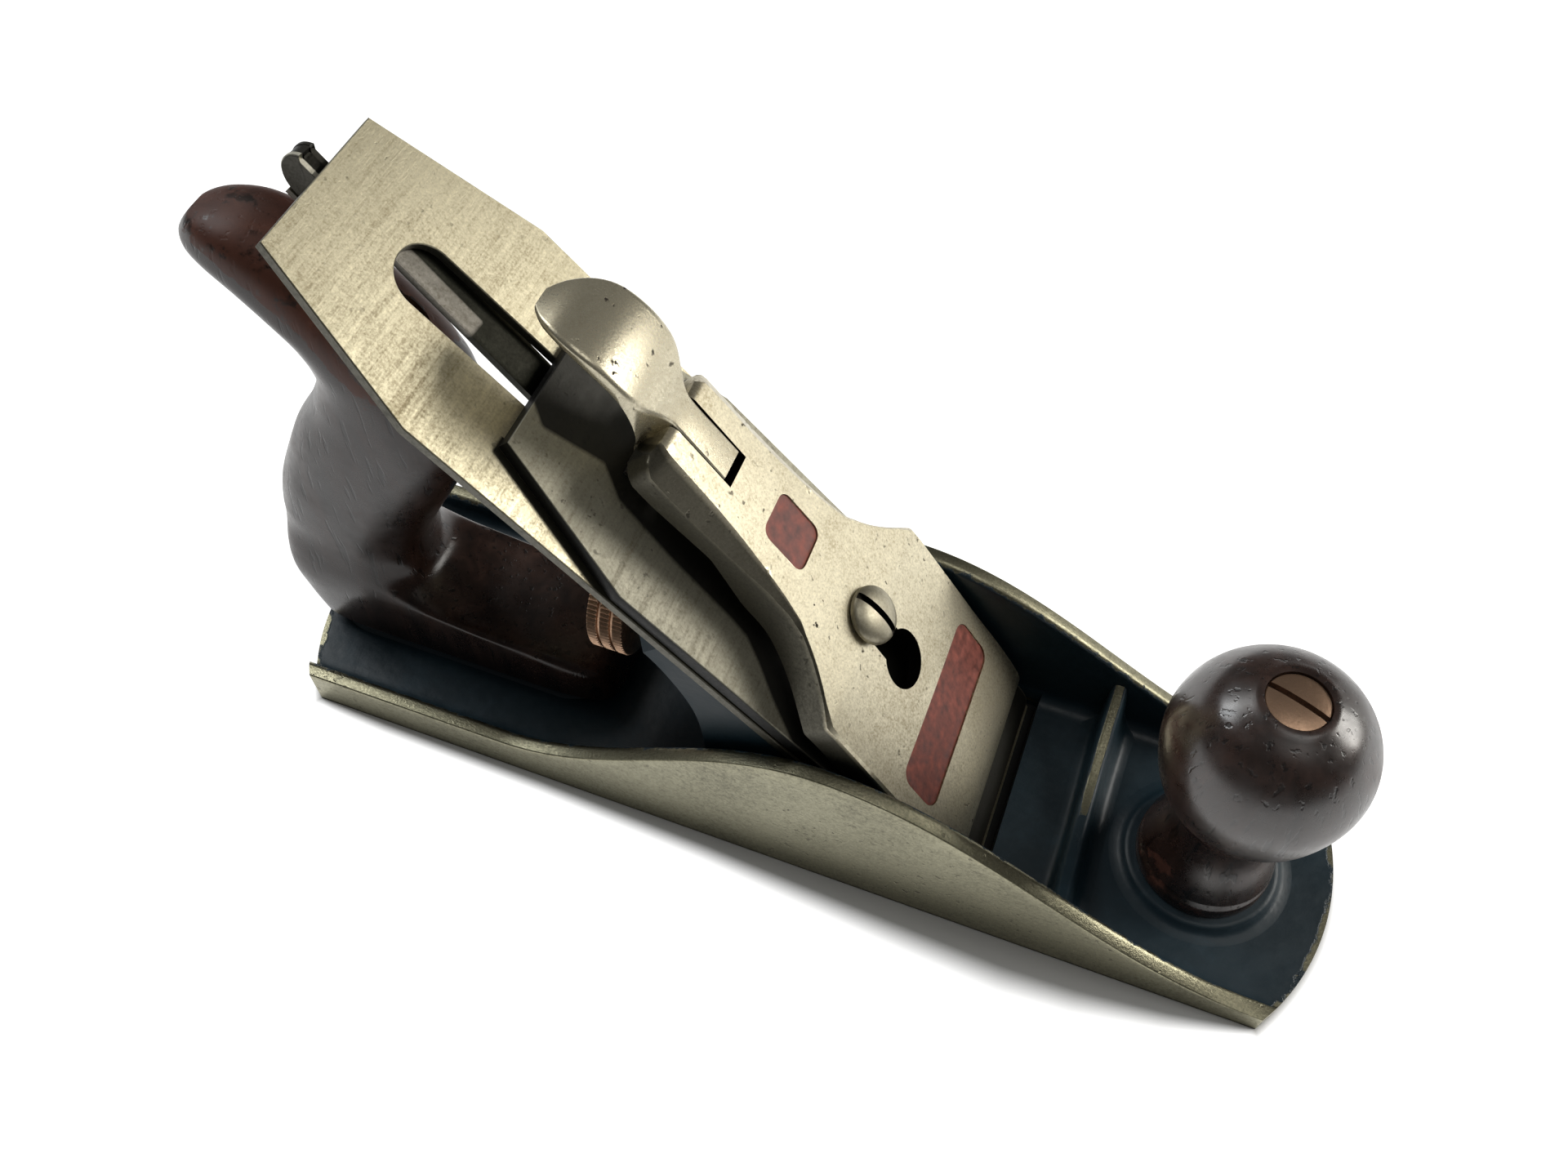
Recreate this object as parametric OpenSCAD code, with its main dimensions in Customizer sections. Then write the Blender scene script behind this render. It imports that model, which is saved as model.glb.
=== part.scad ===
// Smoothing plane with an iron sole, a hardwood knob and tote, and a two-piece cap iron.
// Frame: origin at the centre of the sole, +X to the toe, +Y to the left side, +Z up.

/* [Body] */
// Length of the sole from heel to toe
body_l = 234; // [226:1:244]
// Width of the body over its cheeks
body_w = 60.5; // [59:0.5:64]
// Thickness of the sole
sole_t = 4.2; // [3.6:0.1:5]
// Thickness of each cheek
cheek_t = 3.7; // [3:0.1:4]
// Clearance between the cutting iron and each cheek
side_gap = 1.15; // [0.9:0.05:1.6]
// Height of the cheek at its hump
hump_h = 42.6; // [38:0.2:46]
// Place of the hump along the body
hump_x = 13.2; // [8:0.5:18]
// Where the rear slope of the cheek starts to rise
rise_x = -60; // [-66:1:-54]
// Height of the cheek at the heel
heel_h = 10.2; // [9:0.2:12]
// Height of the cheek at the toe
toe_h = 5.6; // [5:0.2:8]
// Depth of the curve at the toe and the heel
end_bulge = 9.5; // [7:0.5:11]
// Height of the cross rib behind the knob
rib_h = 10; // [8:0.5:13]
// Place of the cross rib
rib_x = 63.5; // [61:0.5:66]

/* [Bed and mouth] */
// Angle of the bed to the sole
bed_angle = 45; // [44:0.5:46]
// Where the face of the iron meets the plane of the sole
mouth_x = 46.4; // [44:0.2:48]
// Opening of the mouth in front of the iron
mouth_gap = 1.2; // [1:0.1:2]
// Height of the two pads that carry the frog
seat_h = 8; // [7:0.5:9]

/* [Iron and cap iron] */
// Length of the cutting iron
iron_l = 185.7; // [180:0.5:190]
// Thickness of the cutting iron
iron_t = 2.2; // [2:0.1:2.5]
// Width of the square-cut top of the iron
iron_top_w = 32.7; // [28:0.5:38]
// Length of the tapered head of the iron
iron_head_l = 34; // [28:1:38]
// Width of the slot in the iron
slot_w = 12; // [11.6:0.1:12.6]
// Height of the cutting edge over the sole at rest
edge_up = 0.42; // [0.3:0.02:0.6]
// Thickness of the cap iron
cap_t = 3.2; // [2.8:0.1:3.6]
// Distance of the top of the cap iron from the mouth
cap_top = 137.7; // [132:0.5:142]
// Distance from the mouth to the shoulders of the cap iron
cap_shoulder = 106; // [100:1:110]

/* [Lever cap] */
// How far each side of the lever cap stands in from the iron
lever_inset = 0.6; // [0.2:0.1:1.6]
// Width of the upper part of the lever cap
lever_neck_w = 24.6; // [22:0.2:27]
// Distance from the mouth to the lower edge of the lever cap
lever_bottom = 10.6; // [9:0.2:13]
// Distance from the mouth to the tips of the ears
lever_top = 121; // [119:0.5:123]
// Thickness of the shell of the lever cap
lever_wall = 3.4; // [3:0.1:4]
// Radius of the head of the lever cap screw
screw_head_r = 5.8; // [5:0.1:6]
// Distance from the mouth to the lever cap screw
screw_s = 63.8; // [63:0.5:66]
// Distance from the mouth to the cam pin
cam_s = 114; // [113:0.5:115]
// Width of the thumb piece of the cam lever
thumb_w = 17.4; // [15:0.2:19]

/* [Adjusters] */
// Radius of the rim of the depth wheel
wheel_r = 14; // [13:0.1:14.4]
// Width of the rim of the depth wheel
wheel_rim_w = 8.5; // [7:0.1:9]
// Height of the depth wheel over the sole
wheel_z = 40; // [39.5:0.1:41]
// Radius of the stud that the depth wheel turns on
stud_r = 3; // [2.6:0.1:3.2]
// Distance from the mouth to the pivot of the yoke
yoke_s = 88; // [87.5:0.5:89]
// Distance from the mouth to the pivot of the lateral lever
lateral_s = 102.5; // [102:0.5:103.5]
// Turn of the lateral lever at rest, in degrees
lateral_turn = 3.6; // [0:0.1:5]

/* [Knob and tote] */
// Height of the knob over its seat
knob_h = 65.6; // [60:0.5:70]
// Largest radius of the knob
knob_r = 19.3; // [18:0.1:20.5]
// Radius of the foot of the knob
knob_foot_r = 14; // [13:0.1:15]
// Distance of the middle of the knob from the toe
knob_back = 27.5; // [26:0.5:29]
// How far the horn of the tote stands below the top of the iron
horn_drop = 11.7; // [10.5:0.1:18]
// Width of the grip of the tote
tote_w = 24; // [22:0.5:26]
// Width of the foot of the tote
tote_foot_w = 27; // [25:0.5:29]
// Height of the pad that the tote stands on
tote_seat = 8.5; // [7.5:0.1:10]
// Radius of the round brass nuts
nut_r = 5.8; // [5.4:0.1:6.4]
// Radius of the long bolts
bolt_r = 2.8; // [2.4:0.1:3]

/* [Fits] */
// Gap between flat faces that slide on each other
slide_gap = 0.05; // [0.02:0.01:0.1]
// Radial gap of a pin or shaft in its bore
run_gap = 0.05; // [0.03:0.01:0.08]
// Gap between a bolt and the wood round it
wood_gap = 0.3; // [0.2:0.05:0.5]

/* [Hidden] */
eps = 0.01;
big = 400;
$fn = 64;

cast_paint = "#1d2a38";
ground_iron = "#a9a28c";
plate_steel = "#b3ab90";
dark_steel = "#56544d";
nickel = "#c0b99c";
brass = "#a8794a";
rosewood = "#3d1f18";

half_w = body_w / 2;
inner_w = body_w - 2 * cheek_t;
iron_w = inner_w - 2 * side_gap;
lever_w = iron_w - 2 * lever_inset;
edge_inset = 0.4;
frog_half = iron_w / 2 - edge_inset;
cap_half = frog_half;
end_r = (half_w * half_w + end_bulge * end_bulge) / (2 * end_bulge);
toe_x = body_l / 2;
knob_x = toe_x - knob_back;

bed_n = -iron_t - slide_gap;
edge_s = edge_up / sin(bed_angle);
iron_top = edge_s + iron_l;
mouth_half = iron_w / 2 + 0.8;
frog_back = 0.9;
wheel_core_r = 6;
wheel_collar_r = 9;
groove_w = 6;
collar_w = 2;
washer_t = 1.2;
washer_z = seat_h + 5.5 + 2 * slide_gap;
clip_t = 1.6;
clip_screw_z = 23.2;
roller_s = 95;
nut_stem_r = 4.2;
rivet_r = 1.6;
screw_r = 3.2;
cap_head_s = 48;

// Puts children into the frame of the bed: X up the slope, Z out of the face of the iron
module on_bed() {
    translate([mouth_x, 0, 0]) rotate([0, bed_angle, 0]) rotate([0, 0, 180]) children();
}

// A point of the bed frame as [x, z] of the body
function bed_xz(s, n) = [mouth_x - s * cos(bed_angle) + n * sin(bed_angle),
    s * sin(bed_angle) + n * cos(bed_angle)];

// A flat shape drawn in x and z, carried across the body from y0 to y1
module across(y0, y1) {
    translate([0, y1, 0]) rotate([90, 0, 0]) linear_extrude(y1 - y0) children();
}

// A cylinder along n of the bed frame
module bed_cyl(s, n0, n1, r) {
    translate([s, 0, n0]) cylinder(r = r, h = n1 - n0);
}

// A slot along s with round ends, through the bed frame from n0 to n1
module bed_slot(s0, s1, n0, n1, r) {
    bed_cyl(s0, n0, n1, r);
    bed_cyl(s1, n0, n1, r);
    translate([s0, -r, n0]) cube([s1 - s0, 2 * r, n1 - n0]);
}

// Points of a smooth curve through the points p, with k steps on each stretch
function curve_point(a, b, c, d, t) = 0.5 * (2 * b + (c - a) * t
    + (2 * a - 5 * b + 4 * c - d) * t * t + (3 * b - a - 3 * c + d) * t * t * t);
function smooth(p, k) = [for (i = [0 : len(p) - 2], j = [0 : k - 1])
    curve_point(p[max(i - 1, 0)], p[i], p[i + 1], p[min(i + 2, len(p) - 1)], j / k),
    p[len(p) - 1]];

// Height of the cheek: a raised cosine up to the hump, and another down to the toe
toe_corner_x = toe_x - end_bulge;
function swell(t) = (1 - cos(180 * min(max(t, 0), 1))) / 2;
function cheek_z(x) = x < hump_x
    ? heel_h + (hump_h - heel_h) * swell((x - rise_x) / (hump_x - rise_x))
    : toe_h + (hump_h - toe_h) * swell((toe_corner_x - x) / (toe_corner_x - hump_x));
cheek_step = (toe_corner_x - rise_x) / 44;

// Cuts the round toe and heel out of whatever stands on the sole
module end_cut() {
    for (side = [1, -1]) difference() {
        translate([side * (toe_x + 10 - (end_bulge + 12) / 2) - (end_bulge + 12) / 2 - 5, -big / 2, -5])
            cube([end_bulge + 17, big, hump_h + 20]);
        translate([side * (toe_x - end_r), 0, -6]) cylinder(r = end_r, h = hump_h + 22, $fn = 128);
    }
}

module cheek(side) {
    y0 = side > 0 ? half_w - cheek_t : -half_w;
    across(y0, y0 + cheek_t) polygon([[-toe_x, 0], [toe_x, 0], [toe_x, toe_h],
        for (i = [1 : 44]) [toe_corner_x - i * cheek_step, cheek_z(toe_corner_x - i * cheek_step)],
        [-toe_x, heel_h]]);
}

// Mouth: the rear wall lies along the bed, the front wall leans towards the toe
mouth_front = mouth_x + mouth_gap;
ramp_n = bed_n - frog_back * sin(bed_angle) - 0.1;
module mouth_cut() {
    across(-mouth_half, mouth_half) polygon([bed_xz(-3, ramp_n), [mouth_front, -3],
        [mouth_front, 1.6], [mouth_front + 0.8, sole_t + 3], bed_xz(14, ramp_n)]);
}

// Seat of the frog: two side pads and a middle block that takes the adjusting screw
frog_base = seat_h + slide_gap;
frog_rear_x = -15;
pad_front_x = 12;
ledge_h = 6.1;
adjust_z = 14.2;
adjust_r = 2.5;
frog_bolt_x = 4;
frog_bolt_y = 13.5;
frog_bolt_r = 2.9;
module frog_seat() {
    seat_half = frog_half - 4;
    pad_w = seat_half - 7.4;
    for (side = [1, -1]) translate([frog_rear_x - 1, side > 0 ? 7.4 : -seat_half, sole_t - 1])
        cube([pad_front_x - frog_rear_x + 1, pad_w, seat_h - sole_t + 1]);
    difference() {
        translate([frog_rear_x + 4, -5, sole_t - 1]) cube([15, 10, adjust_z + 5 - sole_t]);
        translate([frog_rear_x - 10, 0, adjust_z]) rotate([0, 90, 0])
            cylinder(r = adjust_r + run_gap, h = 40);
    }
    translate([pad_front_x + 4, -seat_half, sole_t - 1])
        cube([26, 2 * seat_half, ledge_h - sole_t + 1]);
}

// Cross rib, drawn up to the cheeks at both ends
rib_t = 4;
module cross_rib() {
    arc_r = 60;
    difference() {
        translate([rib_x - rib_t / 2, -inner_w / 2 - 1, sole_t - 1])
            cube([rib_t, inner_w + 2, rib_h + 10 - sole_t]);
        translate([rib_x - 10, 0, rib_h + arc_r]) rotate([0, 90, 0])
            cylinder(r = arc_r, h = 20, $fn = 128);
    }
}

// Raised round seat of the knob and pad of the tote, with their threaded bosses
knob_seat = sole_t + 1.8;
knob_boss_r = 16;
tote_h = iron_top * sin(bed_angle) - horn_drop;
tote_k = (tote_h - tote_seat) / 111.5;
tote_pad_x0 = 1 - toe_x;
tote_pad_x1 = 73 * tote_k - toe_x;
tote_bolt_foot = [9 * tote_k - toe_x, tote_seat];
tote_lean = 18;
module knob_seat_boss() {
    translate([knob_x, 0, sole_t - 1]) cylinder(r = knob_boss_r, h = knob_seat - sole_t + 1);
    translate([knob_x, 0, sole_t - 1]) cylinder(r = 5, h = knob_seat + 5 - sole_t + 1);
}
module tote_pad() {
    pad_r = tote_foot_w / 2 - 2;
    for (x = [tote_pad_x0 + pad_r, tote_pad_x1 - pad_r])
        translate([x, 0, sole_t - 1]) cylinder(r = pad_r, h = tote_seat - sole_t + 1);
    translate([tote_pad_x0 + pad_r, -pad_r, sole_t - 1])
        cube([tote_pad_x1 - tote_pad_x0 - 2 * pad_r, 2 * pad_r, tote_seat - sole_t + 1]);
}

module at_tote_bolt() {
    translate([tote_bolt_foot[0], 0, tote_bolt_foot[1]]) rotate([0, tote_lean, 0]) children();
}

module body_casting() color(ground_iron) difference() {
    union() {
        translate([-toe_x, -half_w, 0]) cube([body_l, body_w, sole_t]);
        cheek(1);
        cheek(-1);
        frog_seat();
        cross_rib();
        knob_seat_boss();
        tote_pad();
    }
    end_cut();
    mouth_cut();
    for (side = [1, -1]) translate([frog_bolt_x, side * frog_bolt_y, 1.4])
        cylinder(r = frog_bolt_r - run_gap, h = 20);
    translate([knob_x, 0, 1.6]) cylinder(r = bolt_r, h = 20);
    at_tote_bolt() translate([0, 0, -6]) cylinder(r = bolt_r, h = 10);
}

// Frog: bed plate, two side webs with a hollowed rear edge, and a base
plate_t = 6.5;
web_t = 4.6;
frog_top_s = 108.5;
frog_neck_s = 97;
frog_neck_in = 5;
yoke_n = -12;
yoke_pin_r = 2;
lug_w = 4.6;
yoke_hub_half = 5.8;
stud_x0 = -9.5;
stud_boss_x = -19;
wheel_rear_x = -43;
wheel_front_x = wheel_rear_x + wheel_rim_w;
recess_n = bed_n - 2.1;
lever_bar_t = 1.8;

frog_rear = smooth([bed_xz(frog_top_s, bed_n - 5), [-27, 64], [-20.3, 56.4], [-14.8, 46], [-12.8, 36.5],
    [-12.6, 26], [frog_rear_x, 14], [frog_rear_x, frog_base]], 6);
module frog_outline() {
    polygon(concat([bed_xz(frog_top_s, bed_n), bed_xz(frog_top_s + 2.4, bed_n - 2.4)], frog_rear,
        [[pad_front_x + 2, frog_base], [pad_front_x + 5, ledge_h + slide_gap],
        bed_xz((ledge_h + slide_gap) / sin(bed_angle) - bed_n, bed_n)]));
}
module frog_hollow() {
    base_top = frog_base + 5.5;
    corner = bed_xz(40, bed_n - plate_t);
    across(-frog_half + web_t, frog_half - web_t) polygon([
        [corner[0] + corner[1] - base_top, base_top], [-60, base_top], [-60, 100],
        bed_xz(frog_top_s - 4, bed_n - plate_t)]);
}

module frog_lugs() {
    for (side = [1, -1]) on_bed()
        translate([yoke_s, side * (yoke_hub_half + 0.3 + lug_w / 2) - lug_w / 2, yoke_n]) {
            translate([0, lug_w, 0]) rotate([90, 0, 0]) cylinder(r = 3.8, h = lug_w);
            translate([-3.8, 0, 0]) cube([7.6, lug_w, bed_n - 2 - yoke_n]);
        }
}

module frog() color(cast_paint) difference() {
    union() {
        difference() {
            across(-frog_half, frog_half) frog_outline();
            frog_hollow();
        }
        frog_lugs();
        translate([stud_boss_x, 0, wheel_z]) rotate([0, 90, 0]) cylinder(r = 6, h = 17);
        translate([frog_rear_x, -9.5, frog_base + 4]) cube([6, 19, clip_screw_z + 4 - frog_base - 4]);
        on_bed() bed_cyl(screw_s, bed_n - 8, bed_n - 3, 6.5);
    }
    // Channel over the adjusting screw and its block, open at the rear
    translate([frog_rear_x - 10, -5.6, 0]) cube([34, 11.2, adjust_z + 4.6]);
    // Slots for the frog screws, and the openings above them for a screwdriver
    for (side = [1, -1]) {
        for (x = [frog_bolt_x - 1.6, frog_bolt_x + 1.6])
            translate([x, side * frog_bolt_y, 0]) cylinder(r = frog_bolt_r + 0.3, h = 18);
        translate([frog_bolt_x - 1.6, side * frog_bolt_y - frog_bolt_r - 0.3, 0])
            cube([3.2, 2 * frog_bolt_r + 0.6, 18]);
        translate([frog_bolt_x, side * frog_bolt_y, frog_base + 5.5]) cylinder(r = 6.6, h = 60);
    }
    on_bed() {
        // Recess for the head of the cap iron screw
        bed_slot(cap_head_s - 1.5, cap_head_s + 1.5, bed_n - plate_t - 8, 1, 10.9);
        bed_cyl(screw_s, bed_n - 8.1, 1, screw_r - run_gap);
        // Slot of the yoke
        translate([yoke_s - 10, -yoke_hub_half - 0.3, yoke_n - 6])
            cube([17, 2 * yoke_hub_half + 0.6, -yoke_n + 7]);
        // Sunk seat of the lateral lever
        translate([yoke_s - 2, -9, recess_n]) cube([60, 18, 8]);
        translate([lateral_s - 8, -24, recess_n]) cube([60, 48, 8]);
        bed_cyl(lateral_s, recess_n - 5.2, 1, rivet_r);
        translate([yoke_s, 30, yoke_n]) rotate([90, 0, 0]) cylinder(r = yoke_pin_r, h = 60);
    }
    translate([stud_boss_x - 1, 0, wheel_z]) rotate([0, 90, 0])
        cylinder(r = stud_r, h = stud_x0 - stud_boss_x + 1.3);
    translate([frog_rear_x - 2, 0, clip_screw_z]) rotate([0, 90, 0]) cylinder(r = 1.6, h = 7);
    // Upper corners, cut back under the iron
    for (side = [0, 1]) mirror([0, side, 0]) on_bed() translate([0, 0, bed_n - 20]) linear_extrude(22)
        polygon([[frog_neck_s - frog_neck_in, frog_half], [frog_neck_s, frog_half - frog_neck_in],
            [iron_top, frog_half - frog_neck_in], [iron_top, frog_half + 5],
            [frog_neck_s - frog_neck_in, frog_half + 5]]);
}

module frog_screws() color(dark_steel) for (side = [1, -1])
    translate([frog_bolt_x, side * frog_bolt_y, 0]) difference() {
        union() {
            translate([0, 0, 2]) cylinder(r = frog_bolt_r - run_gap - 0.02, h = washer_z + washer_t);
            translate([0, 0, washer_z + washer_t + 0.02]) cylinder(r = 4.8, h = 3.4);
        }
        translate([-0.6, -6, washer_z + washer_t + 1.9]) cube([1.2, 12, 3]);
    }

module frog_screw_washers() color(dark_steel) for (side = [1, -1])
    translate([frog_bolt_x, side * frog_bolt_y, washer_z]) difference() {
        cylinder(r = 5.5, h = washer_t);
        translate([0, 0, -1]) cylinder(r = frog_bolt_r + 0.1, h = 4);
    }

// Adjusting screw behind the frog: head, neck held by the clip, collar, and thread into the body
clip_x = frog_rear_x - clip_t - 0.05;
neck_x0 = clip_x - 0.25;
neck_x1 = frog_rear_x + 0.2;
module frog_adjusting_screw() color(dark_steel) difference() {
    translate([0, 0, adjust_z]) rotate([0, 90, 0]) {
        translate([0, 0, neck_x0 - 3.6]) cylinder(r = 4.4, h = 3.6);
        translate([0, 0, neck_x0 - 1]) cylinder(r = 1.9, h = neck_x1 - neck_x0 + 2);
        translate([0, 0, neck_x1]) cylinder(r = 3.4, h = 1.2);
        translate([0, 0, neck_x1]) cylinder(r = adjust_r, h = 20);
    }
    translate([neck_x0 - 4.6, -6, adjust_z - 0.6]) cube([2.2, 12, 1.2]);
}

// Clip: a flat plate screwed to the rear of the frog that holds the neck of the screw
module frog_adjusting_clip() color(dark_steel) difference() {
    translate([clip_x, -4.6, adjust_z - 4]) cube([clip_t, 9.2, clip_screw_z + 8 - adjust_z]);
    translate([clip_x - 1, 0, adjust_z]) rotate([0, 90, 0]) cylinder(r = 2.1, h = 4);
    translate([clip_x - 1, -2.1, adjust_z - 8]) cube([4, 4.2, 8]);
    translate([clip_x - 1, 0, clip_screw_z]) rotate([0, 90, 0]) cylinder(r = 1.7, h = 40);
}

module clip_screw() color(dark_steel) difference() {
    translate([0, 0, clip_screw_z]) rotate([0, 90, 0]) {
        translate([0, 0, clip_x - 2.02]) cylinder(r = 2.9, h = 2);
        translate([0, 0, clip_x - 1]) cylinder(r = 1.55, h = 7.4);
    }
    translate([clip_x - 3, -4, clip_screw_z - 0.4]) cube([1.9, 8, 0.8]);
}

// Lever cap screw: threaded into the frog, its domed slotted head over the lever cap
head_n = 16.45;
module lever_cap_screw() color(nickel) on_bed() translate([screw_s, 0, 0]) difference() {
    union() {
        translate([0, 0, bed_n - 6.5]) cylinder(r = screw_r - run_gap - 0.02, h = head_n - bed_n + 7);
        translate([0, 0, head_n]) rotate_extrude() polygon(concat([[0, 0], [screw_head_r, 0]],
            [for (a = [0 : 9 : 90]) [screw_head_r * cos(a), 0.9 + 2 * sin(a)]]));
    }
    rotate([0, 0, -4]) translate([-7, -0.55, head_n + 1.5]) cube([14, 1.1, 4]);
}

// Yoke: hub on its pin, a tongue up into the cap iron, and a fork down into the wheel's groove
tongue_w = 5.8;
fork_x = wheel_front_x + groove_w / 2;
fork_in = wheel_core_r + 0.4;
fork_out = fork_in + 3;
yoke_pivot = bed_xz(yoke_s, yoke_n);
module yoke() color(dark_steel) difference() {
    union() {
        on_bed() {
            translate([yoke_s, yoke_hub_half, yoke_n]) rotate([90, 0, 0])
                cylinder(r = 4.2, h = 2 * yoke_hub_half);
            translate([yoke_s - 4.2, -tongue_w / 2, yoke_n]) cube([5, tongue_w, cap_t - 0.4 - yoke_n]);
        }
        across(-fork_out, fork_out) polygon([[fork_x - 1, 51.4], [yoke_pivot[0] - 4.8, 51.4],
            [yoke_pivot[0] - 4.8, 57], [fork_x + 1.6, 56], [fork_x - 1, 54.4]]);
        across(-yoke_hub_half, yoke_hub_half) polygon([[yoke_pivot[0] - 5.6, 51.8],
            [yoke_pivot[0] - 1, 50.8], [yoke_pivot[0] + 0.5, 56.4], [yoke_pivot[0] - 5.6, 56.6]]);
        for (side = [1, -1]) translate([fork_x - 1, side > 0 ? fork_in : -fork_out, wheel_z - 2.6])
            cube([2, fork_out - fork_in, 15]);
    }
    on_bed() translate([yoke_s, 20, yoke_n]) rotate([90, 0, 0])
        cylinder(r = yoke_pin_r + run_gap, h = 40);
}

module yoke_pin() color(dark_steel) on_bed()
    translate([yoke_s, yoke_hub_half + lug_w + 0.2, yoke_n]) rotate([90, 0, 0])
        cylinder(r = yoke_pin_r - 0.01, h = 2 * (yoke_hub_half + lug_w + 0.2));

// Depth wheel: knurled rim in three bands, core groove for the fork, front collar
knurl_count = 72;
module depth_wheel() color(brass) difference() {
    translate([wheel_rear_x, 0, wheel_z]) rotate([0, 90, 0]) {
        band = (wheel_rim_w - 1.2) / 3;
        for (i = [0 : 2]) translate([0, 0, 0.3 + i * (band + 0.3)])
            cylinder(r = wheel_r, h = band);
        translate([0, 0, 0]) cylinder(r = wheel_r - 0.7, h = wheel_rim_w);
        translate([0, 0, wheel_rim_w - 1]) cylinder(r = wheel_core_r, h = groove_w + 1.5);
        translate([0, 0, wheel_rim_w + groove_w]) cylinder(r = wheel_collar_r, h = collar_w);
    }
    translate([wheel_rear_x - 1, 0, wheel_z]) rotate([0, 90, 0])
        cylinder(r = stud_r + run_gap, h = wheel_rim_w + groove_w + collar_w + 2);
    translate([wheel_rear_x - 1, 0, wheel_z]) rotate([0, 90, 0]) cylinder(r = 8.5, h = 2.2);
}

module depth_wheel_stud() color(dark_steel) translate([0, 0, wheel_z]) rotate([0, -90, 0]) {
    translate([0, 0, -stud_x0]) cylinder(r = stud_r - 0.01, h = stud_x0 - wheel_rear_x + 1.5);
    translate([0, 0, -wheel_rear_x + 1.5]) cylinder(r1 = stud_r - 0.01, r2 = stud_r - 1, h = 1.2, $fn = 48);
}

// Lateral lever: flat bar in the sunk seat of the frog, with a folded thumb piece at its top
bar_n = recess_n + 0.05;
tab_s0 = iron_top - 5;
tab_s1 = iron_top + 5.6;
tab_far = -0.4;
tab_near = 3.8;
tab_t = 1.2;
module lateral_turned() {
    on_bed() translate([lateral_s, 0, 0]) rotate([0, 0, -lateral_turn]) translate([-lateral_s, 0, 0])
        children();
}
// Side of the folded thumb piece, in s and n
module tab_side() {
    difference() {
        translate([tab_s0 + 5.3, bed_n - 3.2]) circle(r = 5.3);
        translate([tab_s0 - 2, bed_n - 0.35]) square([iron_top + 2 - tab_s0 + 2.7, 12]);
        translate([tab_s0 - 9, bed_n - 12]) square([9, 20]);
    }
}
module lateral_lever() color(dark_steel) difference() {
    lateral_turned() {
        bed_cyl(lateral_s, bar_n, bar_n + lever_bar_t, 6.5);
        translate([roller_s, -4, bar_n]) cube([lateral_s - roller_s, 8, lever_bar_t]);
        bed_cyl(roller_s, bar_n, bar_n + lever_bar_t, 4);
        translate([lateral_s, -4, bar_n]) cube([tab_s0 + 1 - lateral_s, 8, lever_bar_t]);
        translate([tab_s0, tab_far, bed_n - 8.4]) cube([tab_s1 - tab_s0 - 2, tab_near - tab_far, tab_t]);
        translate([tab_s0, tab_far, bed_n - 8.4])
            cube([tab_t, tab_near - tab_far, bar_n + lever_bar_t - bed_n + 8.4]);
        for (y = [tab_far, tab_near - tab_t]) translate([0, y + tab_t, 0]) rotate([90, 0, 0])
            linear_extrude(tab_t) tab_side();
    }
    lateral_turned() {
        bed_cyl(lateral_s, bar_n - 3, bar_n + 6, rivet_r + run_gap);
        bed_cyl(roller_s, bar_n - 3, bar_n + 6, 1.2);
    }
}

// Roller of the lateral lever, a disc in the slot of the iron with its rivet stem
module lateral_roller() color(dark_steel) lateral_turned() {
    bed_cyl(roller_s, bar_n + lever_bar_t + 0.02, -0.2, 4.5);
    bed_cyl(roller_s, bar_n + 0.1, -0.2, 1.15);
}

module lateral_rivet() color(dark_steel) on_bed() {
    bed_cyl(lateral_s, recess_n - 5, bar_n + lever_bar_t + 0.05, rivet_r - 0.01);
    bed_cyl(lateral_s, bar_n + lever_bar_t + 0.05, bed_n - 0.02, 2.6);
}

// Cutting iron: bevelled edge, shoulders, square-cut head, and a slot with a wide lower end
iron_shoulder = iron_top - iron_head_l;
grind_angle = 25;
iron_hole_s = 30;
slot_top = iron_top - 17;
module cutting_iron() color(plate_steel) on_bed() difference() {
    translate([0, 0, -iron_t]) linear_extrude(iron_t) polygon([
        [edge_s, -iron_w / 2], [edge_s, iron_w / 2], [iron_shoulder, iron_w / 2],
        [iron_top - 0.8, iron_top_w / 2], [iron_top, iron_top_w / 2 - 0.8],
        [iron_top, -iron_top_w / 2 + 0.8], [iron_top - 0.8, -iron_top_w / 2],
        [iron_shoulder, -iron_w / 2]]);
    translate([edge_s, -40, 0]) rotate([0, grind_angle, 0]) translate([-1, 0, -20]) cube([21, 80, 20]);
    bed_slot(iron_hole_s, slot_top - slot_w / 2, -iron_t - 1, 1, slot_w / 2);
    bed_cyl(iron_hole_s, -iron_t - 1, 1, 10.9);
}

// Cap iron: flat plate with tapered shoulders; its lower end is stepped to hook the deflector
hook_s = 23;
cap_screw_s = 76;
cap_top_w = 32.4;
module cap_plate(n0, n1) {
    translate([0, 0, n0]) linear_extrude(n1 - n0) polygon([
        [hook_s, -cap_half], [hook_s, cap_half], [cap_shoulder, cap_half],
        [cap_top, cap_top_w / 2], [cap_top, -cap_top_w / 2], [cap_shoulder, -cap_half]]);
}
module cap_iron() color(plate_steel) on_bed() difference() {
    cap_plate(0.02, cap_t);
    translate([hook_s - 1, -40, -1]) cube([5.2, 80, 1 + cap_t / 2]);
    bed_slot(screw_s - 6, screw_s + 5, -1, cap_t + 1, screw_r + 1);
    translate([yoke_s - 4.2 - 0.4, -tongue_w / 2 - 0.4, -1]) cube([5.8, tongue_w + 0.8, cap_t + 2]);
    bed_cyl(cap_head_s, -1, cap_t + 1, cap_bolt_r);
}

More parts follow.
